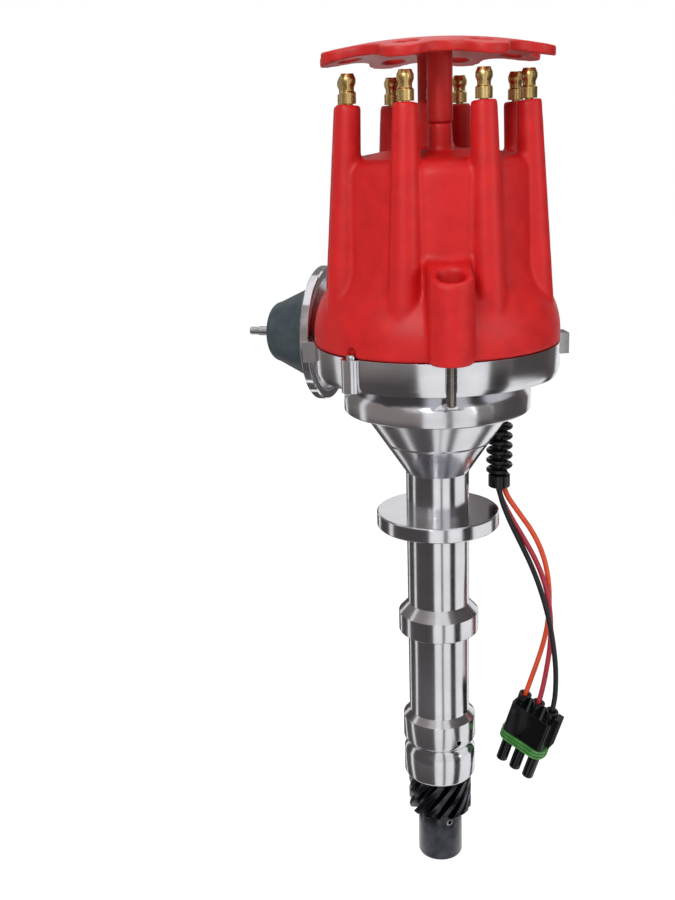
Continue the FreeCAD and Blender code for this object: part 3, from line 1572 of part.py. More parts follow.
def link_rod():
    """Rod, spring seat and eye, turned and padded about the canister's axis."""
    part = body("link_rod")
    eye = "-canister_stand - canister_off * sin(link_pin_lead)"
    start = f"{eye} + link_eye_r - 0.6"
    turn_profile(part, [
        ("0", start),
        ("link_r", start),
        ("link_r", "shell_t + 0.2"),
        ("link_r + 1.4", "shell_t + 0.2"),
        ("link_r + 1.4", "shell_t + 0.8"),
        ("link_r", "shell_t + 0.8"),
        ("link_r", "shell_t + 2"),
        ("spring_seat_r", "shell_t + 2"),
        ("spring_seat_r", "shell_t + 3.1"),
        ("0", "shell_t + 3.1"),
    ])
    extrude(part, "2 * link_r", circles=[("0", eye, "link_eye_r"), ("0", eye, "link_pin_r + 0.45")],
            both=True, plane="YZ_Plane")
    return on_canister(part)


def canister_bracket():
    """Flange behind the canister and a tongue that runs into the bowl."""
    part = body("canister_bracket")
    low = "z_bracket"
    start = "canister_stand - bracket_t"
    tongue = [
        beside_canister("canister_stand - bracket_reach", "-canister_off - bracket_w / 2"),
        beside_canister(start, "-canister_off - bracket_w / 2"),
        beside_canister(start, "-canister_off + bracket_w / 2"),
        beside_canister("canister_stand - bracket_reach", "-canister_off + bracket_w / 2"),
    ]
    extrude(part, "bracket_t", tongue, lift=low)
    holes = []
    for side in (-1, 1):
        spot = beside_canister("bracket_screw_at", f"-canister_off + {side} * bracket_screw_off")
        holes.append((*spot, "bracket_screw_r"))
    extrude(part, "bracket_t", circles=holes, cut=True, reverse=True, lift=low)
    return part


def canister_flange():
    part = body("canister_flange")
    extrude(part, "bracket_t", circles=[("0", "0", "bracket_flange_r"), ("0", "0", "link_r + 2")])
    return on_canister(part, "-bracket_t")


def bracket():
    whole = doc.addObject("Part::MultiFuse", "canister_bracket_fused")
    whole.Label = "canister_bracket"
    pieces = [canister_bracket(), canister_flange()]
    pieces[0].Label = "canister_bracket_tongue"
    whole.Shapes = pieces
    return whole


def bracket_screws():
    part = body("bracket_screws")
    for side in (-1, 1):
        spot = beside_canister("bracket_screw_at", f"-canister_off + {side} * bracket_screw_off")
        extrude(part, "bracket_t + bracket_lift + 1.5", circles=[(*spot, "bracket_screw_r")],
                lift="z_bracket - bracket_lift - 1.5")
        extrude(part, "small_head_h", circles=[(*spot, "small_head_r + 0.5")],
                lift="z_bracket + bracket_t")
    return part


# Strain relief and the three leads
def strain_relief():
    part = body("strain_relief")
    collar_top = "relief_collar_h"
    rib_end = "relief_collar_h + relief_pitch * relief_ribs"
    turn_profile(part, [
        ("relief_bore_r", "0"),
        ("relief_collar_r - 1", "0"),
        ("relief_collar_r", "1"),
        ("relief_collar_r", f"{collar_top} - edge_break"),
        ("relief_collar_r - edge_break", collar_top),
        ("relief_core_r", collar_top),
        ("relief_core_r", f"{rib_end} + relief_pitch - relief_rib_h"),
        ("relief_neck_r", f"{rib_end} + relief_pitch"),
        ("relief_neck_r", "z_well - relief_foot_z"),
        ("0", "z_well - relief_foot_z"),
        ("0", "relief_bore_h"),
        ("relief_bore_r", "relief_bore_h"),
    ])
    low = "relief_collar_h + relief_pitch - relief_rib_h"
    rib = turn_profile(part, [
        ("relief_core_r - 0.5", low),
        ("relief_rib_r - 0.7", low),
        ("relief_rib_r", f"{low} + relief_rib_h / 2"),
        ("relief_rib_r - 0.7", f"{low} + relief_rib_h"),
        ("relief_core_r - 0.5", f"{low} + relief_rib_h"),
    ])
    in_line(part, [rib], "relief_pitch * (relief_ribs - 1)", "relief_ribs")
    place(part, "relief_x", "relief_y", "relief_foot_z")
    return part


# The route of each lead, as points chosen by hand from the relief's foot to the connector's back
LEAD_ROUTES = {
    "lead_orange": [(29.8, 13.2, 13.9), (30.4, 13.3, 8.4), (36.4, 12.2, -0.6), (42.8, 11.2, -9.8),
                    (47.4, 10.4, -20.0), (49.9, 9.8, -31.2), (50.6, 9.6, -43.2), (49.8, 9.6, -55.2),
                    (47.2, 9.5, -66.6), (40.6, 5.6, -82.8), (39.0, 7.1, -89.4)],
    "lead_red": [(27.3, 14.4, 13.9), (28.2, 14.2, 7.6), (33.0, 13.0, -2.6), (38.8, 11.2, -12.6),
                 (44.4, 9.2, -23.0), (48.4, 7.2, -34.4), (50.3, 5.8, -46.6), (50.5, 5.0, -59.0),
                 (49.1, 4.4, -71.0), (45.8, 1.3, -85.0), (44.2, 2.8, -91.6)],
    "lead_black": [(27.5, 11.6, 13.9), (28.3, 11.4, 7.0), (32.2, 10.4, -3.6), (37.2, 8.9, -14.2),
                   (42.2, 7.1, -25.2), (46.2, 5.0, -36.8), (49.2, 2.6, -49.0), (51.0, 0.4, -61.2),
                   (51.9, -1.2, -73.2), (51.1, -2.9, -87.2), (49.4, -1.4, -93.9)],
}


def lead(label, route):
    """A round lead along straight runs joined by tangent arcs."""
    points = [FreeCAD.Vector(*point) for point in route]
    edges = []
    start = points[0]
    radii = []
    for before, corner, after in zip(points, points[1:], points[2:]):
        arriving, leaving = corner - before, after - corner
        turn = arriving.getAngle(leaving)
        trim = 0.45 * min(arriving.Length, leaving.Length)
        radii.append(trim / math.tan(turn / 2))
        arriving.normalize()
        leaving.normalize()
        arc_start, arc_end = corner - arriving * trim, corner + leaving * trim
        inward = (leaving - arriving).normalize()
        rise = radii[-1] / math.cos(turn / 2) - radii[-1]
        middle = corner + inward * rise
        edges.append(Part.LineSegment(start, arc_start).toShape())
        edges.append(Part.Arc(arc_start, middle, arc_end).toShape())
        start = arc_end
    edges.append(Part.LineSegment(start, points[-1]).toShape())
    path = Part.Wire(edges)
    section = Part.Wire(Part.makeCircle(value("lead_r"), points[0], points[1] - points[0]))
    result = doc.addObject("Part::Feature", label)
    result.Label = label
    result.Shape = path.makePipeShell([section], True, True)
    plain = math.pi * value("lead_r") ** 2 * path.Length
    print(label, "length %.1f" % path.Length, "tightest radius %.1f" % min(radii),
          "volume share %.3f" % (result.Shape.Volume / plain))
    return result


# Connector: made upright about its own middle, then laid where the leads end
PLUG_CENTRE = (42.2, 4.6, -99.7)
PLUG_FRONT = (-0.235, 0.21, -0.949)
PLUG_ROW = (0.745, -0.605, -0.28)


def on_plug(part):
    front = FreeCAD.Vector(*PLUG_FRONT).normalize()
    row = FreeCAD.Vector(*PLUG_ROW)
    row = (row - front * row.dot(front)).normalize()
    back = front * -1
    part.Placement = FreeCAD.Placement(FreeCAD.Vector(*PLUG_CENTRE),
                                       FreeCAD.Rotation(row, FreeCAD.Vector(), back, "ZXY"))
    return part


def rounded(width, deep, radius, x="0", y="0"):
    """A rectangle with round corners, as an outline."""
    half, side = f"({width}) / 2", f"({deep}) / 2"
    corner = f"({radius}) * 1.00001"
    points = []
    for sx, sy in ((1, -1), (1, 1), (-1, 1), (-1, -1)):
        first = (f"{x} + {sx} * ({half} - {radius})", f"{y} + {sy} * {side}")
        second = (f"{x} + {sx} * {half}", f"{y} + {sy} * ({side} - {radius})")
        pair = (first, second) if sx * sy < 0 else (second, first)
        points += [pair[0] + (corner, 1), pair[1]]
    return points


def connector_body():
    part = body("connector_body")
    extrude(part, "plug_len", rounded("plug_w", "plug_deep", "1.6"), both=True)
    extrude(part, "plug_seal_len", rounded("plug_core_w", "plug_core_deep", "3.6"), reverse=True,
            lift="-plug_len / 2")
    rows = ("-plug_pitch", "0", "plug_pitch")
    extrude(part, "plug_tower_len", circles=[(x, "0", "plug_tower_r") for x in rows], reverse=True,
            lift="-plug_len / 2 - plug_seal_len")
    extrude(part, "plug_pin_len + 1", circles=[(x, "0", "plug_tower_r - 0.8") for x in rows], cut=True,
            reverse=True, lift="-plug_len / 2 - plug_seal_len - plug_tower_len")
    extrude(part, "plug_ear_len", circles=[(x, "0", "plug_ear_r") for x in rows], lift="plug_len / 2")
    extrude(part, "plug_ear_len", circles=[(x, "0", "plug_ear_bore_r") for x in rows], cut=True,
            lift="plug_len / 2 + plug_ear_len")
    extrude(part, "plug_len", [
        ("plug_w / 2 - 0.5", "-2.6"),
        ("plug_w / 2 + 2.2", "-2.6"),
        ("plug_w / 2 + 2.2", "2.6"),
        ("plug_w / 2 - 0.5", "2.6"),
    ], lift="-plug_len / 2 + 3")
    return on_plug(part)


def connector_seal():
    part = body("connector_seal")
    rib = "plug_seal_len / 3"
    for k in range(3):
        extrude(part, f"{rib} * 0.62", rounded("plug_seal_w", "plug_seal_deep", "5"), reverse=True,
                lift=f"-plug_len / 2 - {k} * {rib}")
        extrude(part, rib, rounded("plug_seal_w - 1.8", "plug_seal_deep - 1.8", "4.2"), reverse=True,
                lift=f"-plug_len / 2 - {k} * {rib}")
    extrude(part, "plug_seal_len", rounded("plug_core_w", "plug_core_deep", "3.6"), cut=True,
            lift="-plug_len / 2")
    return on_plug(part)


def connector_pins():
    part = body("connector_pins")
    rows = ("-plug_pitch", "0", "plug_pitch")
    extrude(part, "plug_pin_len", circles=[(x, "0", "plug_pin_r") for x in rows],
            lift="-plug_len / 2 - plug_seal_len - plug_tower_len + 1")
    return on_plug(part)


# Assembly
terminals = cap_terminals()
centre = coil_terminal()
node(housing())
for piece in simple_rings() + bearing():
    node(piece)
for make in (plate_clip, main_shaft, drive_gear, gear_roll_pin, centre_cam, advance_base, weight_pins,
             advance_springs, reluctor, rotor, rotor_blade, rotor_screws, pickup_plate, pickup_coil,
             pickup_screws, ignition_module, module_screws, carbon_button, button_spring, wire_retainer,
             retainer_screws, index_screw, link_rod, bracket, bracket_screws, strain_relief,
             connector_body, connector_seal, connector_pins):
    node(make())
node(weight("weight_a", "0"))
node(weight("weight_b", "180"))
node(terminals)
node(centre)
node(distributor_cap(terminals, centre))
for name, angle in (("front_latch", 0), ("rear_latch", 180)):
    node(latch(name, angle))
    node(latch_washer(name + "_washer", angle))
    node(latch_spring(name + "_spring", angle))
for piece in canister():
    node(piece)
for name, route in LEAD_ROUTES.items():
    node(lead(name, route))

doc.recompute()


def check():
    faults = []
    for item in doc.Objects:
        if "Invalid" in item.State or "Error" in item.State:
            faults.append(f"{item.Name} {item.State}")
    for item in NODES:
        if item.Shape.isNull() or not item.Shape.isValid() or not item.Shape.Solids:
            faults.append(f"{item.Label} has no valid shape")
    if faults:
        raise RuntimeError("; ".join(faults))


def export():
    os.makedirs("parts", exist_ok=True)
    for item in NODES:
        print("%-22s solids %2d volume %.1f" % (item.Label, len(item.Shape.Solids), item.Shape.Volume))
        item.Shape.exportStep(f"parts/{item.Label}.step")


check()
export()
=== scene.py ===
# %% [markdown]
# # An ignition distributor, dressed for a product photograph
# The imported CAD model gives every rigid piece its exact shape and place. This script adds what a camera
# sees and a CAD model leaves out: finishes, soft edges, hanging leads, small moulded parts and light.

# %% Load the frame
import math

import bmesh
import bpy
from mathutils import Matrix, Vector


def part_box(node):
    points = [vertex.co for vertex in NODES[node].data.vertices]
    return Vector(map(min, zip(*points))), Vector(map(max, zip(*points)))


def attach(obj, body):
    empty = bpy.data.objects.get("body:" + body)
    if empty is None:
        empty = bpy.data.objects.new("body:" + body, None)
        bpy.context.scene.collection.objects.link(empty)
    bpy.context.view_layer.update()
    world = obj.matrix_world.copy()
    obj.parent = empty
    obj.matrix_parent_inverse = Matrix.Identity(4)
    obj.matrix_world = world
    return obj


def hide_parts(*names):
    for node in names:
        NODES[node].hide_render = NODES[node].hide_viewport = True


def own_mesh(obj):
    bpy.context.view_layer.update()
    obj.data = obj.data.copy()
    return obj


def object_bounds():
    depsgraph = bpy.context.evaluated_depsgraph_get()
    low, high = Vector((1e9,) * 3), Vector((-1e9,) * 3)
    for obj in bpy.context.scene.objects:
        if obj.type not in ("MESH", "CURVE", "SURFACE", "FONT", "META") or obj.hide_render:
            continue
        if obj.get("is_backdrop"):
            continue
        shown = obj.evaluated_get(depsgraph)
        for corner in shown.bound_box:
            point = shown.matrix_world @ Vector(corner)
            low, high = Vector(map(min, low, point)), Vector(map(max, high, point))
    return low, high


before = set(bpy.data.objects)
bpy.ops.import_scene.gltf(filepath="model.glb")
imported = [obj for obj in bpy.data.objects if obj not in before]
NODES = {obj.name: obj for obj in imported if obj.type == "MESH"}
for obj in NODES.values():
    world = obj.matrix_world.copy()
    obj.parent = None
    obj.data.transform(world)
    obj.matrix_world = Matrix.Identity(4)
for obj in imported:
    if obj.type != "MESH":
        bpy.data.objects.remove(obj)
MM = 0.001
low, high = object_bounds()
cad_box = [list(low), list(high)]
print("nodes", len(NODES), "overall height", round(high[2] - low[2], 4))

# %% [markdown]
# ## Helpers for new pieces
# Blender keeps data and objects apart: a mesh, curve, lamp or camera shows only once an object holds it
# and the object is linked to the scene. New meshes start as a bmesh, which has the modelling operators.
# Every piece is made in its real place, so its object stays at the origin.

# %% Piece helpers
def show(name, data):
    """Puts data in a new object and links it to the scene."""
    thing = bpy.data.objects.new(name, data)
    bpy.context.scene.collection.objects.link(thing)
    return thing


def show_mesh(name, shape, smooth):
    """Turns a finished bmesh into an object and frees it."""
    for face in shape.faces:
        face.smooth = smooth
    mesh = bpy.data.meshes.new(name)
    shape.to_mesh(mesh)
    shape.free()
    return show(name, mesh)


def turn(shape, verts, degrees, axis):
    """Turns vertices about an axis through the origin."""
    turned = Matrix.Rotation(math.radians(degrees), 3, axis)
    bmesh.ops.rotate(shape, cent=(0, 0, 0), matrix=turned, verts=verts)


def upright_ring(shape, sides, half_width, half_height, centre):
    """A standing oval outline, ready to be spun round Z; returns its vertices and its edges."""
    ring = bmesh.ops.create_circle(shape, cap_ends=False, segments=sides, radius=1)["verts"]
    bmesh.ops.scale(shape, vec=(half_width, half_height, 1), verts=ring)
    turn(shape, ring, 90, "X")
    bmesh.ops.translate(shape, vec=centre, verts=ring)
    return ring, list(dict.fromkeys(edge for vert in ring for edge in vert.link_edges))


def spin(shape, outline, degrees, steps, **options):
    """Spins an outline round Z."""
    bmesh.ops.spin(shape, geom=outline, cent=(0, 0, 0), axis=(0, 0, 1),
                   angle=math.radians(degrees), steps=steps, **options)


def cap_open_ends(shape):
    bmesh.ops.holes_fill(shape, edges=[e for e in shape.edges if e.is_boundary], sides=0)


print("piece helpers ready")

# %% [markdown]
# ## The camera
# The photograph was taken from a little above, with a slight roll. Its place and lens come from the
# ellipses of the rim, the bands and the terminals, so the render can be laid over the photograph.

# %% Camera
CAMERA_PLACE = Vector((-48.6, -449.8, 162.7)) * MM
CAMERA_TURN = math.radians(-0.881)
CAMERA_TILT = math.radians(90 - 15.978)
CAMERA_ROLL = math.radians(-1.922)
CAMERA_LENS_MM = 44.9
SENSOR_MM = 36

camera = show("photo_camera", bpy.data.cameras.new("photo_camera"))
camera.data.lens = CAMERA_LENS_MM
camera.data.sensor_width = SENSOR_MM
camera.data.clip_start = 10 * MM
look = Matrix.Rotation(CAMERA_TURN, 4, "Z") @ Matrix.Rotation(CAMERA_TILT, 4, "X")
camera.matrix_world = Matrix.Translation(CAMERA_PLACE) @ look @ Matrix.Rotation(CAMERA_ROLL, 4, "Z")
bpy.context.scene.camera = camera
print("camera at", [round(v, 3) for v in CAMERA_PLACE])

# %% [markdown]
# ## The three leads
# Each lead is a limp stranded wire that leaves the strain relief, hangs in one long curve and enters the
# connector. A smooth spline through a few chosen points gives that curve, and its bevel gives the wire
# its thickness. Blender measures a curve's box with the radius of its points, so the half thickness is
# kept there and not in the bevel.

# %% Routes of the leads
LEAD_DIAMETER = 2.3 * MM
STEPS_BETWEEN_POINTS = 16
# Each lead: the CAD node, its length in metres and its route in millimetres, from the relief down.
LEADS = {
    "orange_lead": ("lead_orange", 0.109, [
        (29.8, 13.2, 13.9), (30.4, 13.3, 8.4), (36.4, 12.2, -0.6), (42.8, 11.2, -9.8),
        (47.4, 10.4, -20.0), (49.9, 9.8, -31.2), (50.6, 9.6, -43.2), (49.8, 9.6, -55.2),
        (47.2, 9.5, -66.6), (40.6, 5.6, -82.8), (39.0, 7.1, -89.4)]),
    "red_lead": ("lead_red", 0.110, [
        (27.3, 14.4, 13.9), (28.2, 14.2, 7.6), (33.0, 13.0, -2.6), (38.8, 11.2, -12.6),
        (44.4, 9.2, -23.0), (48.4, 7.2, -34.4), (50.3, 5.8, -46.6), (50.5, 5.0, -59.0),
        (49.1, 4.4, -71.0), (45.8, 1.3, -85.0), (44.2, 2.8, -91.6)]),
    "black_lead": ("lead_black", 0.112, [
        (27.5, 11.6, 13.9), (28.3, 11.4, 7.0), (32.2, 10.4, -3.6), (37.2, 8.9, -14.2),
        (42.2, 7.1, -25.2), (46.2, 5.0, -36.8), (49.2, 2.6, -49.0), (51.0, 0.4, -61.2),
        (51.9, -1.2, -73.2), (51.1, -2.9, -87.2), (49.4, -1.4, -93.9)]),
}
print("routes", {name: len(points) for name, (_, _, points) in LEADS.items()})


# %% Leads
def hanging_lead(name, points):
    curve = bpy.data.curves.new(name, "CURVE")
    curve.dimensions = "3D"
    curve.bevel_depth = 1.0  # the bevel is one metre times each point's radius
    curve.bevel_resolution = 5
    curve.use_fill_caps = True
    spline = curve.splines.new("NURBS")
    spline.points.add(len(points) - 1)
    for point, place in zip(spline.points, points):
        point.co = (*(Vector(place) * MM), 1)
        point.radius = LEAD_DIAMETER / 2
    spline.order_u = 3
    spline.use_endpoint_u = True
    spline.resolution_u = STEPS_BETWEEN_POINTS
    return show(name, curve)


lead_objects = {}
for name, (node, length, points) in LEADS.items():
    lead = hanging_lead(name, points)
    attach(lead, "housing")
    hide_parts(node)
    lead_objects[name] = lead
print("leads", list(lead_objects))

# %% [markdown]
# ## Clean shading on turned pieces
# A CAD mesh arrives as loose triangles, which show as flat bands on a polished cylinder. A small node
# group welds them and smooths every edge that turns less than a chosen angle, so turned walls look
# round and their steps stay crisp.

# %% Weld and smooth by angle
SMOOTH_BELOW = math.radians(32)
WELD_WITHIN = 0.002 * MM


def smoothing_group():
    group = bpy.data.node_groups.new("weld_and_smooth", "GeometryNodeTree")
    for direction in ("INPUT", "OUTPUT"):
        group.interface.new_socket("Geometry", in_out=direction, socket_type="NodeSocketGeometry")
    nodes, links = group.nodes, group.links
    start, end = nodes.new("NodeGroupInput"), nodes.new("NodeGroupOutput")
    weld = nodes.new("GeometryNodeMergeByDistance")
    weld.inputs["Distance"].default_value = WELD_WITHIN
    all_smooth = nodes.new("GeometryNodeSetShadeSmooth")
    all_smooth.domain = "FACE"
    angle = nodes.new("GeometryNodeInputMeshEdgeAngle")
    steep = nodes.new("FunctionNodeCompare")
    steep.operation = "GREATER_THAN"
    steep.inputs[1].default_value = SMOOTH_BELOW
    crisp = nodes.new("GeometryNodeSetShadeSmooth")
    crisp.domain = "EDGE"
    crisp.inputs["Shade Smooth"].default_value = False
    links.new(start.outputs[0], weld.inputs["Geometry"])
    links.new(weld.outputs[0], all_smooth.inputs["Geometry"])
    links.new(all_smooth.outputs[0], crisp.inputs["Geometry"])
    links.new(angle.outputs["Unsigned Angle"], steep.inputs[0])
    links.new(steep.outputs[0], crisp.inputs["Selection"])
    links.new(crisp.outputs[0], end.inputs[0])
    return group


smoothing = smoothing_group()
for piece in NODES.values():
    piece.modifiers.new("weld_and_smooth", "NODES").node_group = smoothing
print("smoothed", len(NODES), "pieces")

# %% [markdown]
# ## Soft edges on the red mouldings
# The cap and the wire retainer come out of a mould with every edge and inside corner rounded by half a
# millimetre or more. Rounding so many meeting edges one by one is fragile. A voxel remesh turns the
# welded solid into an even skin, and a few rounds of smoothing then soften every edge by the same amount.

# %% Remesh and smooth the mouldings
SMOOTH_SHARE = 0.5
# Each moulding: the size of a voxel in millimetres, and the rounds of smoothing. The cap's voxels keep
# its mesh below 200,000 triangles.
SOFT_MOULDINGS = {"distributor_cap": (0.95, 4), "wire_retainer": (0.55, 7)}
for name, (voxel_mm, rounds) in SOFT_MOULDINGS.items():
    skin = NODES[name].modifiers.new("even_skin", "REMESH")
    skin.mode = "VOXEL"
    skin.voxel_size = voxel_mm * MM
    skin.use_smooth_shade = True
    soften = NODES[name].modifiers.new("soft_edges", "SMOOTH")
    soften.factor = SMOOTH_SHARE
    soften.iterations = rounds
print("softened", list(SOFT_MOULDINGS))

# %% [markdown]
# ## The strain relief
# The rubber relief has a plain foot and, above it, short lugs that alternate from side to side. The gaps
# between them let it bend without pinching the leads. Each lug is a rounded section spun through a little
# more than half a turn, and the core and foot are one turned profile.

# %% Sizes of the strain relief
RELIEF_AXIS = (28.2, 13.05)
FOOT_Z = 11.2
TOP_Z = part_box("strain_relief")[1][2] / MM
LUG_PITCH = 2.15
LUG_HALF_WIDTH, LUG_HALF_HEIGHT = 1.45, 1.2
LUG_FROM_AXIS = 4.3
LUG_SWEEP_DEG = 205
FIRST_LUG_DEG = 95
FIRST_LUG_Z = FOOT_Z + 7.6
LUG_COUNT = int((TOP_Z - FOOT_Z - 8.5) / LUG_PITCH)
LUG_SIDES, LUG_STEPS, CORE_STEPS = 12, 30, 48
MERGE_WITHIN = 0.003
# The turned profile, as (radius, height), from the bore of the foot round the outside to the axis.
CORE_PROFILE = [
    (3.25, FOOT_Z + 2.9), (3.25, FOOT_Z), (4.4, FOOT_Z), (4.7, FOOT_Z + 0.3), (4.7, FOOT_Z + 5.2),
    (4.3, FOOT_Z + 5.7), (3.3, FOOT_Z + 6.0), (3.3, TOP_Z), (0.001, TOP_Z), (0.001, FOOT_Z + 2.9),
    (3.25, FOOT_Z + 2.9)]
print("relief from", FOOT_Z, "to", round(TOP_Z, 2), "with", LUG_COUNT, "lugs")


# %% Strain relief
def add_lug(shape, height, start_deg):
    ring, edges = upright_ring(shape, LUG_SIDES, LUG_HALF_WIDTH, LUG_HALF_HEIGHT,
                               (LUG_FROM_AXIS, 0, height))
    turn(shape, ring, start_deg, "Z")
    spin(shape, ring + edges, LUG_SWEEP_DEG, LUG_STEPS)


def add_core(shape, profile):
    verts = [shape.verts.new((radius, 0, height)) for radius, height in profile]
    edges = [shape.edges.new(pair) for pair in zip(verts, verts[1:])]
    spin(shape, verts + edges, 360, CORE_STEPS, use_merge=True)


relief_shape = bmesh.new()
for step in range(LUG_COUNT):
    add_lug(relief_shape, FIRST_LUG_Z + step * LUG_PITCH, FIRST_LUG_DEG + 180 * (step % 2))
cap_open_ends(relief_shape)
add_core(relief_shape, CORE_PROFILE)
bmesh.ops.remove_doubles(relief_shape, verts=relief_shape.verts, dist=MERGE_WITHIN)
bmesh.ops.translate(relief_shape, vec=(*RELIEF_AXIS, 0), verts=relief_shape.verts)
bmesh.ops.scale(relief_shape, vec=(MM, MM, MM), verts=relief_shape.verts)
bmesh.ops.recalc_face_normals(relief_shape, faces=relief_shape.faces)
ribbed_relief = show_mesh("ribbed_relief", relief_shape, smooth=True)
ribbed_relief.modifiers.new("weld_and_smooth", "NODES").node_group = smoothing
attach(ribbed_relief, "housing")
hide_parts("strain_relief")
print("relief faces", len(ribbed_relief.data.polygons))

# %% [markdown]
# ## Coil springs
# Four springs are squeezed when a latch, the carbon button or the vacuum link moves. A coil is a round
# wire section spun many times round its axis while each step also climbs a little. Each spring is one
# mesh, wound in its place.

# %% Places of the springs
CANISTER_ANGLE = math.radians(160.3)
CANISTER_AXIS = Vector((math.cos(CANISTER_ANGLE), math.sin(CANISTER_ANGLE), 0))
CANISTER_SIDE = Vector((-math.sin(CANISTER_ANGLE), math.cos(CANISTER_ANGLE), 0))
CANISTER_LEVEL = Vector((0, 0, 76.8))
diaphragm_foot = CANISTER_AXIS * 54.9 + CANISTER_SIDE * -21.1 + CANISTER_LEVEL
UP = Vector((0, 0, 1))
# Each spring, in millimetres: the CAD node, mean radius, wire radius, length, turns, foot, axis, joint,
# stroke, and whether the end at the foot is the fixed one.
SPRINGS = {
    "front_latch_coil": ("front_latch_spring", 3.3, 0.45, 11.9, 4, Vector((0, -50.3, 84.36)), UP,
                         "front_latch_press", 2.5, True),
    "rear_latch_coil": ("rear_latch_spring", 3.3, 0.45, 11.9, 4, Vector((0, 50.3, 84.36)), UP,
                        "rear_latch_press", 2.5, True),
    "button_coil": ("button_spring", 1.9, 0.35, 4.9, 3, Vector((0, 0, 141.75)), UP,
                    "button_press", 1.5, False),
    "diaphragm_coil": ("diaphragm_spring", 7.2, 0.7, 22.6, 5, diaphragm_foot, CANISTER_AXIS,
                       "link_pull", 3.7, False),
}
print("springs to wind", len(SPRINGS))

# %% Coil springs
STEPS_PER_TURN = 24
WIRE_SIDES = 10


def coil_shape(mean_radius, wire_radius, length, turns):
    """A closed round-wire helix round Z that starts at height 0."""
    shape = bmesh.new()
    ring, edges = upright_ring(shape, WIRE_SIDES, wire_radius, wire_radius,
                               (mean_radius, 0, wire_radius))
    steps = turns * STEPS_PER_TURN
    spin(shape, ring + edges, 360 * turns, steps, dvec=(0, 0, (length - 2 * wire_radius) / steps))
    cap_open_ends(shape)
    bmesh.ops.recalc_face_normals(shape, faces=shape.faces)
    return shape


coils = {}
for name, (node, radius, wire, length, turns, foot, axis, joint, stroke, foot_fixed) in SPRINGS.items():
    shape = coil_shape(radius, wire, length, turns)
    lean = axis.to_track_quat("Z", "Y").to_matrix().to_4x4()
    place = Matrix.Scale(MM, 4) @ Matrix.Translation(foot) @ lean
    bmesh.ops.transform(shape, matrix=place, verts=shape.verts)
    spring = show_mesh(name, shape, smooth=True)
    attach(spring, "housing")
    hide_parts(node)
    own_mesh(spring)
    coils[name] = spring
print("springs", {name: len(spring.data.polygons) for name, spring in coils.items()})

# %% [markdown]
# ## Colours and a node helper
# Colours are written as the hex values a painter would pick from the photograph. Blender works in linear
# light, so one function turns them. A second adds any shader node with its settings and links.

# %% Colour and nodes
def linear(hex_text):
    channels = [int(hex_text[i:i + 2], 16) / 255 for i in (0, 2, 4)]
    return (*(c / 12.92 if c <= 0.04045 else ((c + 0.055) / 1.055) ** 2.4 for c in channels), 1.0)


def add(tree, kind, settings=None, inputs=None):
    """Adds a shader node; an input is a number or colour, or a socket to link from."""
    node = tree.nodes.new(kind)
    for key, setting in (settings or {}).items():
        setattr(node, key, setting)
    for key, source in (inputs or {}).items():
        if isinstance(source, bpy.types.NodeSocket):
            tree.links.new(source, node.inputs[key])
        else:
            node.inputs[key].default_value = source
    return node


print("orange lead in linear light", [round(c, 3) for c in linear("D9491A")[:3]])

# %% [markdown]
# ## What every finish is built from
# A real surface is never one flat value. Its colour drifts between two close tones, its roughness varies
# by a few hundredths, and its tool marks or grain stand a few thousandths of a millimetre high. Each of
# the helpers below adds one of these to a plain material.

# %% Finish helpers
PLASTIC_IOR = 1.54


def material(name, colour, metallic, roughness, ior=1.5):
    """A plain material; a metal keeps the default IOR."""
    made = bpy.data.materials.new(name)
    made.use_nodes = True
    shader = made.node_tree.nodes["Principled BSDF"]
    shader.inputs["Base Color"].default_value = linear(colour)
    shader.inputs["Metallic"].default_value = metallic
    shader.inputs["Roughness"].default_value = roughness
    if not metallic:
        shader.inputs["IOR"].default_value = ior
    return made, made.node_tree, shader


def grain(tree, size_mm, detail=3.0):
    """Even noise whose grains are about size_mm across."""
    place = add(tree, "ShaderNodeTexCoord").outputs["Object"]
    return add(tree, "ShaderNodeTexNoise", None, {
        "Vector": place, "Scale": 1 / (size_mm * MM), "Detail": detail}).outputs["Fac"]


def tint(tree, shader, source, dark, light):
    """Spreads a 0 to 1 pattern between two tones of the colour."""
    ramp = add(tree, "ShaderNodeValToRGB", None, {"Fac": source})
    for element, position, tone in zip(ramp.color_ramp.elements, (0.25, 0.75), (dark, light)):
        element.position = position
        element.color = linear(tone)
    tree.links.new(ramp.outputs["Color"], shader.inputs["Base Color"])


def wear(tree, shader, source, smooth, rough):
    """Spreads a 0 to 1 pattern over a narrow range of roughness."""
    spread = add(tree, "ShaderNodeMapRange", None, {"Value": source, "To Min": smooth, "To Max": rough})
    tree.links.new(spread.outputs[0], shader.inputs["Roughness"])


def relief(tree, shader, source, height_mm, strength, edge_mm=0.25):
    """A bump of a real height over edges that are rounded a little for the light."""
    edge = add(tree, "ShaderNodeBevel", {"samples": 4}, {"Radius": edge_mm * MM})
    bump = add(tree, "ShaderNodeBump", None, {
        "Height": source, "Distance": height_mm * MM, "Strength": strength, "Normal": edge.outputs[0]})
    tree.links.new(bump.outputs[0], shader.inputs["Normal"])


print("finish helpers ready")

# %% [markdown]
# ## Turned metals
# A lathe tool leaves rings round the axis, finer than a tenth of a millimetre. They are drawn a little
# coarser so that they show: noise read from the radius and the height alone makes perfect rings, and a
# slow second noise keeps the polish from looking even.

# %% Turned metals
POLISH_PATCH_MM = 9.0


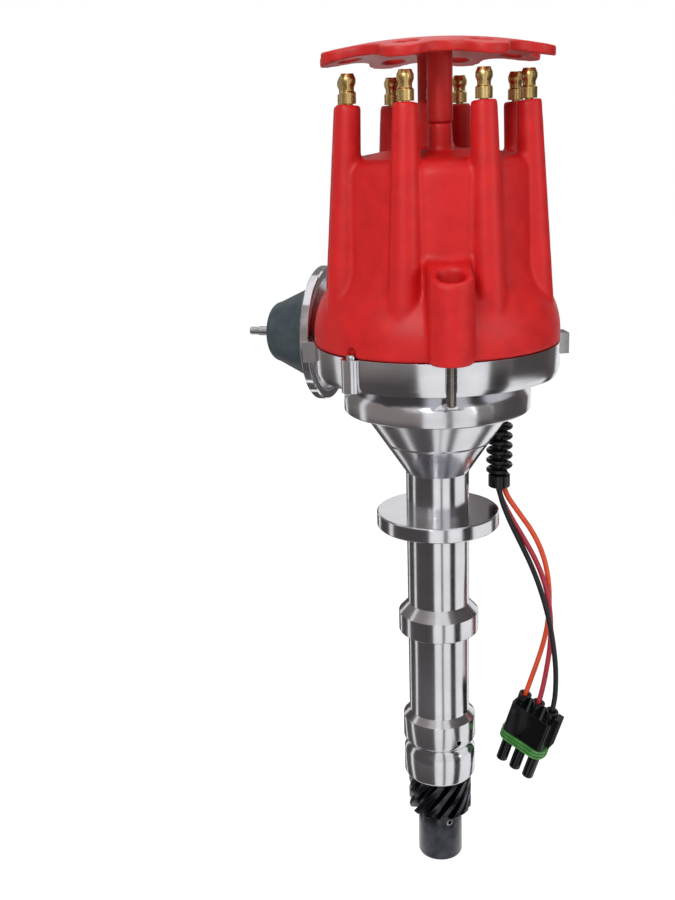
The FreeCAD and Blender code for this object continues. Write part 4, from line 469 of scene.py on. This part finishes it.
def turning_marks(tree, pitch_mm):
    place = add(tree, "ShaderNodeTexCoord").outputs["Object"]
    where = add(tree, "ShaderNodeSeparateXYZ", None, {"Vector": place})
    flat = add(tree, "ShaderNodeCombineXYZ", None, {"X": where.outputs["X"], "Y": where.outputs["Y"]})
    radius = add(tree, "ShaderNodeVectorMath", {"operation": "LENGTH"}, {"Vector": flat.outputs[0]})
    rings = add(tree, "ShaderNodeCombineXYZ", None, {
        "X": radius.outputs["Value"], "Z": where.outputs["Z"]})
    return add(tree, "ShaderNodeTexNoise", None, {
        "Vector": rings.outputs[0], "Scale": 1 / (pitch_mm * MM), "Detail": 2.0}).outputs["Fac"]


def turned_metal(name, dark, light, rough, pitch_mm, height_mm):
    made, tree, shader = material(name, light, 1.0, rough[0])
    marks = turning_marks(tree, pitch_mm)
    tint(tree, shader, grain(tree, POLISH_PATCH_MM, 2.0), dark, light)
    wear(tree, shader, marks, *rough)
    relief(tree, shader, marks, height_mm, 0.35)
    return made


# Bright, nearly mirror bands that run down the body, with fine rings across them.
turned_aluminium = turned_metal("turned_aluminium", "C9C9CD", "D3D3D8", (0.10, 0.24), 0.45, 0.006)
# Ground and hardened: a cooler, tighter shine than the aluminium.
ground_steel = turned_metal("ground_steel", "B9BABF", "D3D4D8", (0.14, 0.26), 0.25, 0.003)
# Free-cutting brass from an automatic lathe: warm yellow with soft round highlights.
turned_brass = turned_metal("turned_brass", "B5975A", "D6BB80", (0.2, 0.34), 0.3, 0.004)
# Pressed powder soaked with oil: brown and dull, with no clear reflection.
sintered_bronze = turned_metal("sintered_bronze", "7E5630", "9B6E3F", (0.35, 0.5), 0.6, 0.01)
# Zinc plate on pressed steel: a grey shine that blurs what it reflects.
zinc_steel = turned_metal("bright_zinc_steel", "A9AAAE", "C4C5C9", (0.2, 0.36), 0.5, 0.004)
# Drawn rod, left plain: a dark line with one long highlight.
latch_steel = turned_metal("drawn_latch_steel", "6E6A66", "8C8884", (0.22, 0.34), 0.5, 0.003)
# The rolled ring is plated: hard white and black streaks.
bright_chrome = turned_metal("rolled_chrome", "C9CBD0", "E4E6EA", (0.06, 0.14), 1.2, 0.003)
print("turned metals made")

# %% [markdown]
# ## Coated and oxidised steel
# The canister's nose wears a matte dark coat with a fine orange-peel grain, and the gear is blackened
# steel, darker and smoother where the oil has settled.

# %% Dark steels
OIL_PATCH_MM = 5.0


def dark_steel(name, dark, light, rough, grain_mm, height_mm, metallic):
    made, tree, shader = material(name, light, metallic, rough[0])
    tint(tree, shader, grain(tree, OIL_PATCH_MM), dark, light)
    fine = grain(tree, grain_mm)
    wear(tree, shader, fine, *rough)
    relief(tree, shader, fine, height_mm, 0.5)
    return made


# Baked blue-grey coat: a flat soft tone whose edges fade slowly.
coated_steel = dark_steel("dark_coated_steel", "2A353A", "3A474D", (0.42, 0.58), 0.5, 0.02, 0.0)
# Black oxide and oil: near black, yet each tooth keeps a sharp bright flank.
black_oxide = dark_steel("black_oxide_steel", "2C2D31", "494A50", (0.2, 0.34), 0.7, 0.01, 1.0)
print("dark steels made")

# %% [markdown]
# ## Moulded resins and rubber
# The red cap is a glass-filled polyester: a deep even red with a soft gloss and a faint flow pattern
# from the mould. The black mouldings share the recipe. The rubber is new and so still shines.

# %% Mouldings
MOULD_GRAIN_MM = 0.6


def moulded(name, dark, light, rough, flow_mm, height_mm, edge_mm=0.35, gloss=0.5):
    made, tree, shader = material(name, light, 0.0, rough[0], PLASTIC_IOR)
    shader.inputs["Specular IOR Level"].default_value = gloss
    flow = grain(tree, flow_mm, 4.0)
    tint(tree, shader, flow, dark, light)
    wear(tree, shader, flow, *rough)
    relief(tree, shader, grain(tree, MOULD_GRAIN_MM), height_mm, 0.3, edge_mm)
    return made


# Glass-filled polyester: strong red with a broad, soft highlight.
red_resin = moulded("moulded_red_polyester", "B50E12", "C81414", (0.42, 0.54), 6.0, 0.02, 0.5, 0.3)
# Filled nylon: a shade deeper than the cap beside it.
retainer_resin = moulded("moulded_red_nylon", "A81212", "BC1B14", (0.4, 0.5), 8.0, 0.01, 0.6, 0.3)
# Phenolic black: flat, with a trace of grey.
black_resin = moulded("moulded_black_resin", "121316", "1E1F23", (0.4, 0.55), 8.0, 0.01, gloss=0.35)
# Nylon from a polished mould: black faces, and light only on the edges.
plug_resin = moulded("glossy_black_nylon", "08090A", "0F1012", (0.1, 0.18), 8.0, 0.005, gloss=0.22)
# Pressed graphite: dull and grey-black, the roughest surface of all.
pressed_carbon = moulded("pressed_carbon", "161616", "262626", (0.6, 0.75), 1.0, 0.02)
# Fresh rubber: deep black lugs that each carry a small highlight.
black_rubber = moulded("glossy_black_rubber", "08080A", "101013", (0.14, 0.24), 5.0, 0.008, 0.4, 0.28)
# Silicone: a matt mid green, the only bright ring on the plug.
green_rubber = moulded("green_silicone_seal", "2F7229", "4F9347", (0.3, 0.4), 4.0, 0.006)
# Drawn jackets of soft vinyl: clear colour with a thin line of light along each lead.
JACKET_ROUGH = (0.34, 0.46)
jackets = {
    "orange_lead": moulded("orange_wire_jacket", "C23A12", "D9491A", JACKET_ROUGH, 3.0, 0.004),
    "red_lead": moulded("crimson_wire_jacket", "93162A", "AE2036", JACKET_ROUGH, 3.0, 0.004),
    "black_lead": moulded("black_wire_jacket", "0E0E10", "18181B", (0.3, 0.42), 3.0, 0.004, gloss=0.35),
}
print("mouldings made")

# %% [markdown]
# ## Finishes on the pieces
# Each CAD piece takes the finish of its real material. One table keeps the choice in plain sight.

# %% Assign finishes
FINISHES = [
    (turned_aluminium, ["housing"]),
    (ground_steel, ["main_shaft", "bearing_outer_race", "bearing_inner_race", "bearing_balls",
                    "gear_roll_pin", "lower_thrust_washer", "upper_thrust_collar", "centre_cam",
                    "weight_pins", "vacuum_nipple"]),
    (black_oxide, ["drive_gear", "bearing_snap_ring", "plate_clip"]),
    (sintered_bronze, ["lower_bushing", "bearing_cage"]),
    (turned_brass, ["cap_terminals", "coil_terminal", "rotor_blade", "connector_pins"]),
    (zinc_steel, ["index_screw", "advance_base", "advance_springs", "weight_a", "weight_b", "reluctor",
                  "rotor_screws", "pickup_plate", "pickup_screws", "module_screws", "button_spring",
                  "retainer_screws", "front_latch_washer", "rear_latch_washer", "front_latch_spring",
                  "rear_latch_spring", "canister_back_shell", "diaphragm_spring", "link_rod",
                  "canister_bracket", "bracket_screws"]),
    (latch_steel, ["front_latch", "rear_latch"]),
    (bright_chrome, ["canister_crimp_ring"]),
    (coated_steel, ["canister_nose"]),
    (red_resin, ["distributor_cap"]),
    (retainer_resin, ["wire_retainer"]),
    (black_resin, ["rotor", "pickup_coil", "ignition_module"]),
    (plug_resin, ["connector_body"]),
    (pressed_carbon, ["carbon_button"]),
    (black_rubber, ["strain_relief", "diaphragm"]),
    (green_rubber, ["connector_seal"]),
]
finished = set()
for finish, names in FINISHES:
    for name in names:
        NODES[name].data.materials.clear()
        NODES[name].data.materials.append(finish)
        finished.add(name)
for name, lead in lead_objects.items():
    lead.data.materials.append(jackets[name])
for spring in coils.values():
    spring.data.materials.append(zinc_steel)
ribbed_relief.data.materials.append(black_rubber)
print("bare nodes", sorted(set(NODES) - finished - {node for node, _, _ in LEADS.values()}))

# %% [markdown]
# ## White floor
# The product stands before plain white. The floor shines white for the camera and for mirrors, and is
# plain pale paper for every other ray, so that it still takes a faint shadow of the object.

# %% Floor and backdrop
FLOOR_Z = cad_box[0][2] - 0.5 * MM
FLOOR_HALF_SIZE = 4
FLOOR_LEVEL = 1.17
SHADOW_SHARE = 0.2


def background_share(tree):
    """1 for rays that should meet plain white: from the camera, a mirror or clear glass."""
    path = add(tree, "ShaderNodeLightPath")
    mirrored = add(tree, "ShaderNodeMath", {"operation": "ADD"},
                   {0: path.outputs["Is Glossy Ray"], 1: path.outputs["Is Transmission Ray"]})
    return add(tree, "ShaderNodeMath", {"operation": "ADD", "use_clamp": True},
               {0: path.outputs["Is Camera Ray"], 1: mirrored.outputs[0]}).outputs[0]


def white_ground(name, camera_level, shadow_share):
    made = bpy.data.materials.new(name)
    made.use_nodes = True
    tree = made.node_tree
    tree.nodes.clear()
    paper = add(tree, "ShaderNodeBsdfDiffuse", None, {"Color": linear("F2F2F2")})
    glow = add(tree, "ShaderNodeEmission", None, {"Color": (1, 1, 1, 1), "Strength": camera_level})
    share = add(tree, "ShaderNodeMath", {"operation": "MULTIPLY"},
                {0: background_share(tree), 1: 1 - shadow_share})
    blend = add(tree, "ShaderNodeMixShader", None, {
        0: share.outputs[0], 1: paper.outputs[0], 2: glow.outputs[0]})
    add(tree, "ShaderNodeOutputMaterial", None, {"Surface": blend.outputs[0]})
    return made


def stage_piece(name, shape, colour_material):
    """Shows a piece of the studio, which isn't part of the object."""
    piece = show_mesh(name, shape, smooth=False)
    piece.data.materials.append(colour_material)
    piece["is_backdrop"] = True
    return piece


floor_shape = bmesh.new()
bmesh.ops.create_grid(floor_shape, x_segments=1, y_segments=1, size=FLOOR_HALF_SIZE)
bmesh.ops.translate(floor_shape, vec=(0, 0, FLOOR_Z), verts=floor_shape.verts)
stage_piece("floor", floor_shape, white_ground("white_floor", FLOOR_LEVEL, SHADOW_SHARE))
print("floor at", round(FLOOR_Z, 4))

# %% [markdown]
# ## Cards that the metal reflects
# Polished metal shows only what is around it, and a product photographer stands dark cards beside it.
# Curved cards do that here, outside the camera's view: wide ones on the left and narrow ones on the right.
# They give the housing its long vertical bands. They cast no shadow and reach the picture through
# reflections only.

# %% Cards
CARD_TOP = 0.30
CARD_GAP = 0.8 * MM
SKIRT_RADIUS = 0.03
DEGREES_PER_STEP = 4
CARD_ROUGHNESS = 0.9
PALER_FROM_Z, PALEST_AT_Z = -0.02, 0.06
# Each card: two colours, distance from the axis, the height of its foot, and the angles it spans. 0 is the
# camera's side and plus is right. A card that reaches the floor has a skirt that runs in under the shank.
CARDS = {
    "left_card": ("5E5859", "A8A29E", 0.200, FLOOR_Z, -94, -21),
    "far_left_card": ("57504F", "8C8683", 0.200, FLOOR_Z, -138, -104),
    "rear_left_card": ("4A4446", "7C7675", 0.200, FLOOR_Z, -174, -147),
    "thin_front_card": ("6E696B", "A8A29E", 0.240, FLOOR_Z, 4, 11),
    "right_card": ("3B3334", "847D7B", 0.210, FLOOR_Z, 37, 58),
    "upper_right_card": ("4C4648", "5B5553", 0.205, 0.0, 58, 112),
    "lower_right_card": ("4C4648", "6B6462", 0.200, FLOOR_Z, 108, 126),
    "rear_right_card": ("5B5557", "7C7675", 0.200, FLOOR_Z, 150, 170),
}


def card_paint(name, low_colour, high_colour):
    """Dark at the foot and paler above the housing's rim, so the rim stays brighter than the shank."""
    made, tree, shader = material(name, low_colour, 0.0, CARD_ROUGHNESS)
    place = add(tree, "ShaderNodeTexCoord").outputs["Object"]
    height = add(tree, "ShaderNodeSeparateXYZ", None, {"Vector": place}).outputs["Z"]
    climb = add(tree, "ShaderNodeMapRange", None, {
        "Value": height, "From Min": PALER_FROM_Z, "From Max": PALEST_AT_Z})
    tint(tree, shader, climb.outputs[0], low_colour, high_colour)
    return made


def card_shape(radius, foot_z, start, end):
    shape = bmesh.new()
    foot = shape.verts.new((0, -radius, foot_z + CARD_GAP))
    top = shape.verts.new((0, -radius, CARD_TOP))
    outline = [foot, top, shape.edges.new((foot, top))]
    if foot_z == FLOOR_Z:
        skirt = shape.verts.new((0, -SKIRT_RADIUS, foot_z + CARD_GAP))
        outline += [skirt, shape.edges.new((skirt, foot))]
    turn(shape, shape.verts, start, "Z")
    spin(shape, outline, end - start, max(2, int((end - start) / DEGREES_PER_STEP)))
    return shape


for name, (low_colour, high_colour, *place) in CARDS.items():
    card = stage_piece(name, card_shape(*place), card_paint(name, low_colour, high_colour))
    card.visible_camera = False
    card.visible_diffuse = False
    card.visible_shadow = False
    card.visible_transmission = False
print("cards", len(CARDS))

# %% [markdown]
# ## Lamps and world
# Three wide, soft lamps light the object at a plain level, the key from the upper left as in the
# photograph. The world is a dim white room for light, and full white for the camera and for mirrors.

# %% Lamps and world
# Each lamp: its place, what it aims at, its width in metres and its power in watts.
LAMPS = {
    "key_lamp": ((-0.45, -0.85, 0.7), (0, 0, 0.05), 0.45, 8.0),
    "fill_lamp": ((0.8, -0.6, 0.35), (0, 0, 0.0), 0.5, 3.0),
    "top_lamp": ((0.1, 0.15, 1.1), (0, 0, 0.1), 0.5, 4.5),
}
ROOM_LEVEL = 0.36
for name, (place, target, width, power) in LAMPS.items():
    lamp = bpy.data.lights.new(name, "AREA")
    lamp.size = width
    lamp.energy = power
    aim = (Vector(target) - Vector(place)).to_track_quat("-Z", "Y")
    show(name, lamp).matrix_world = Matrix.Translation(place) @ aim.to_matrix().to_4x4()

world = bpy.data.worlds.new("white_room")
bpy.context.scene.world = world
world.use_nodes = True
tree = world.node_tree
tree.nodes.clear()
level = add(tree, "ShaderNodeMapRange", None, {
    "Value": background_share(tree), "To Min": ROOM_LEVEL, "To Max": 1.0})
sky = add(tree, "ShaderNodeBackground", None, {"Color": (1, 1, 1, 1), "Strength": level.outputs[0]})
add(tree, "ShaderNodeOutputWorld", None, {"Surface": sky.outputs[0]})
bpy.context.scene.view_settings.view_transform = "Standard"
print("lamps", list(LAMPS))

# %% [markdown]
# ## Measure and finish
# The dressed model should keep the size of the CAD model. Its box is measured and printed.

# %% Measure and finish
low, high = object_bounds()
print("visual box", [[round(v, 4) for v in corner] for corner in (low, high)])
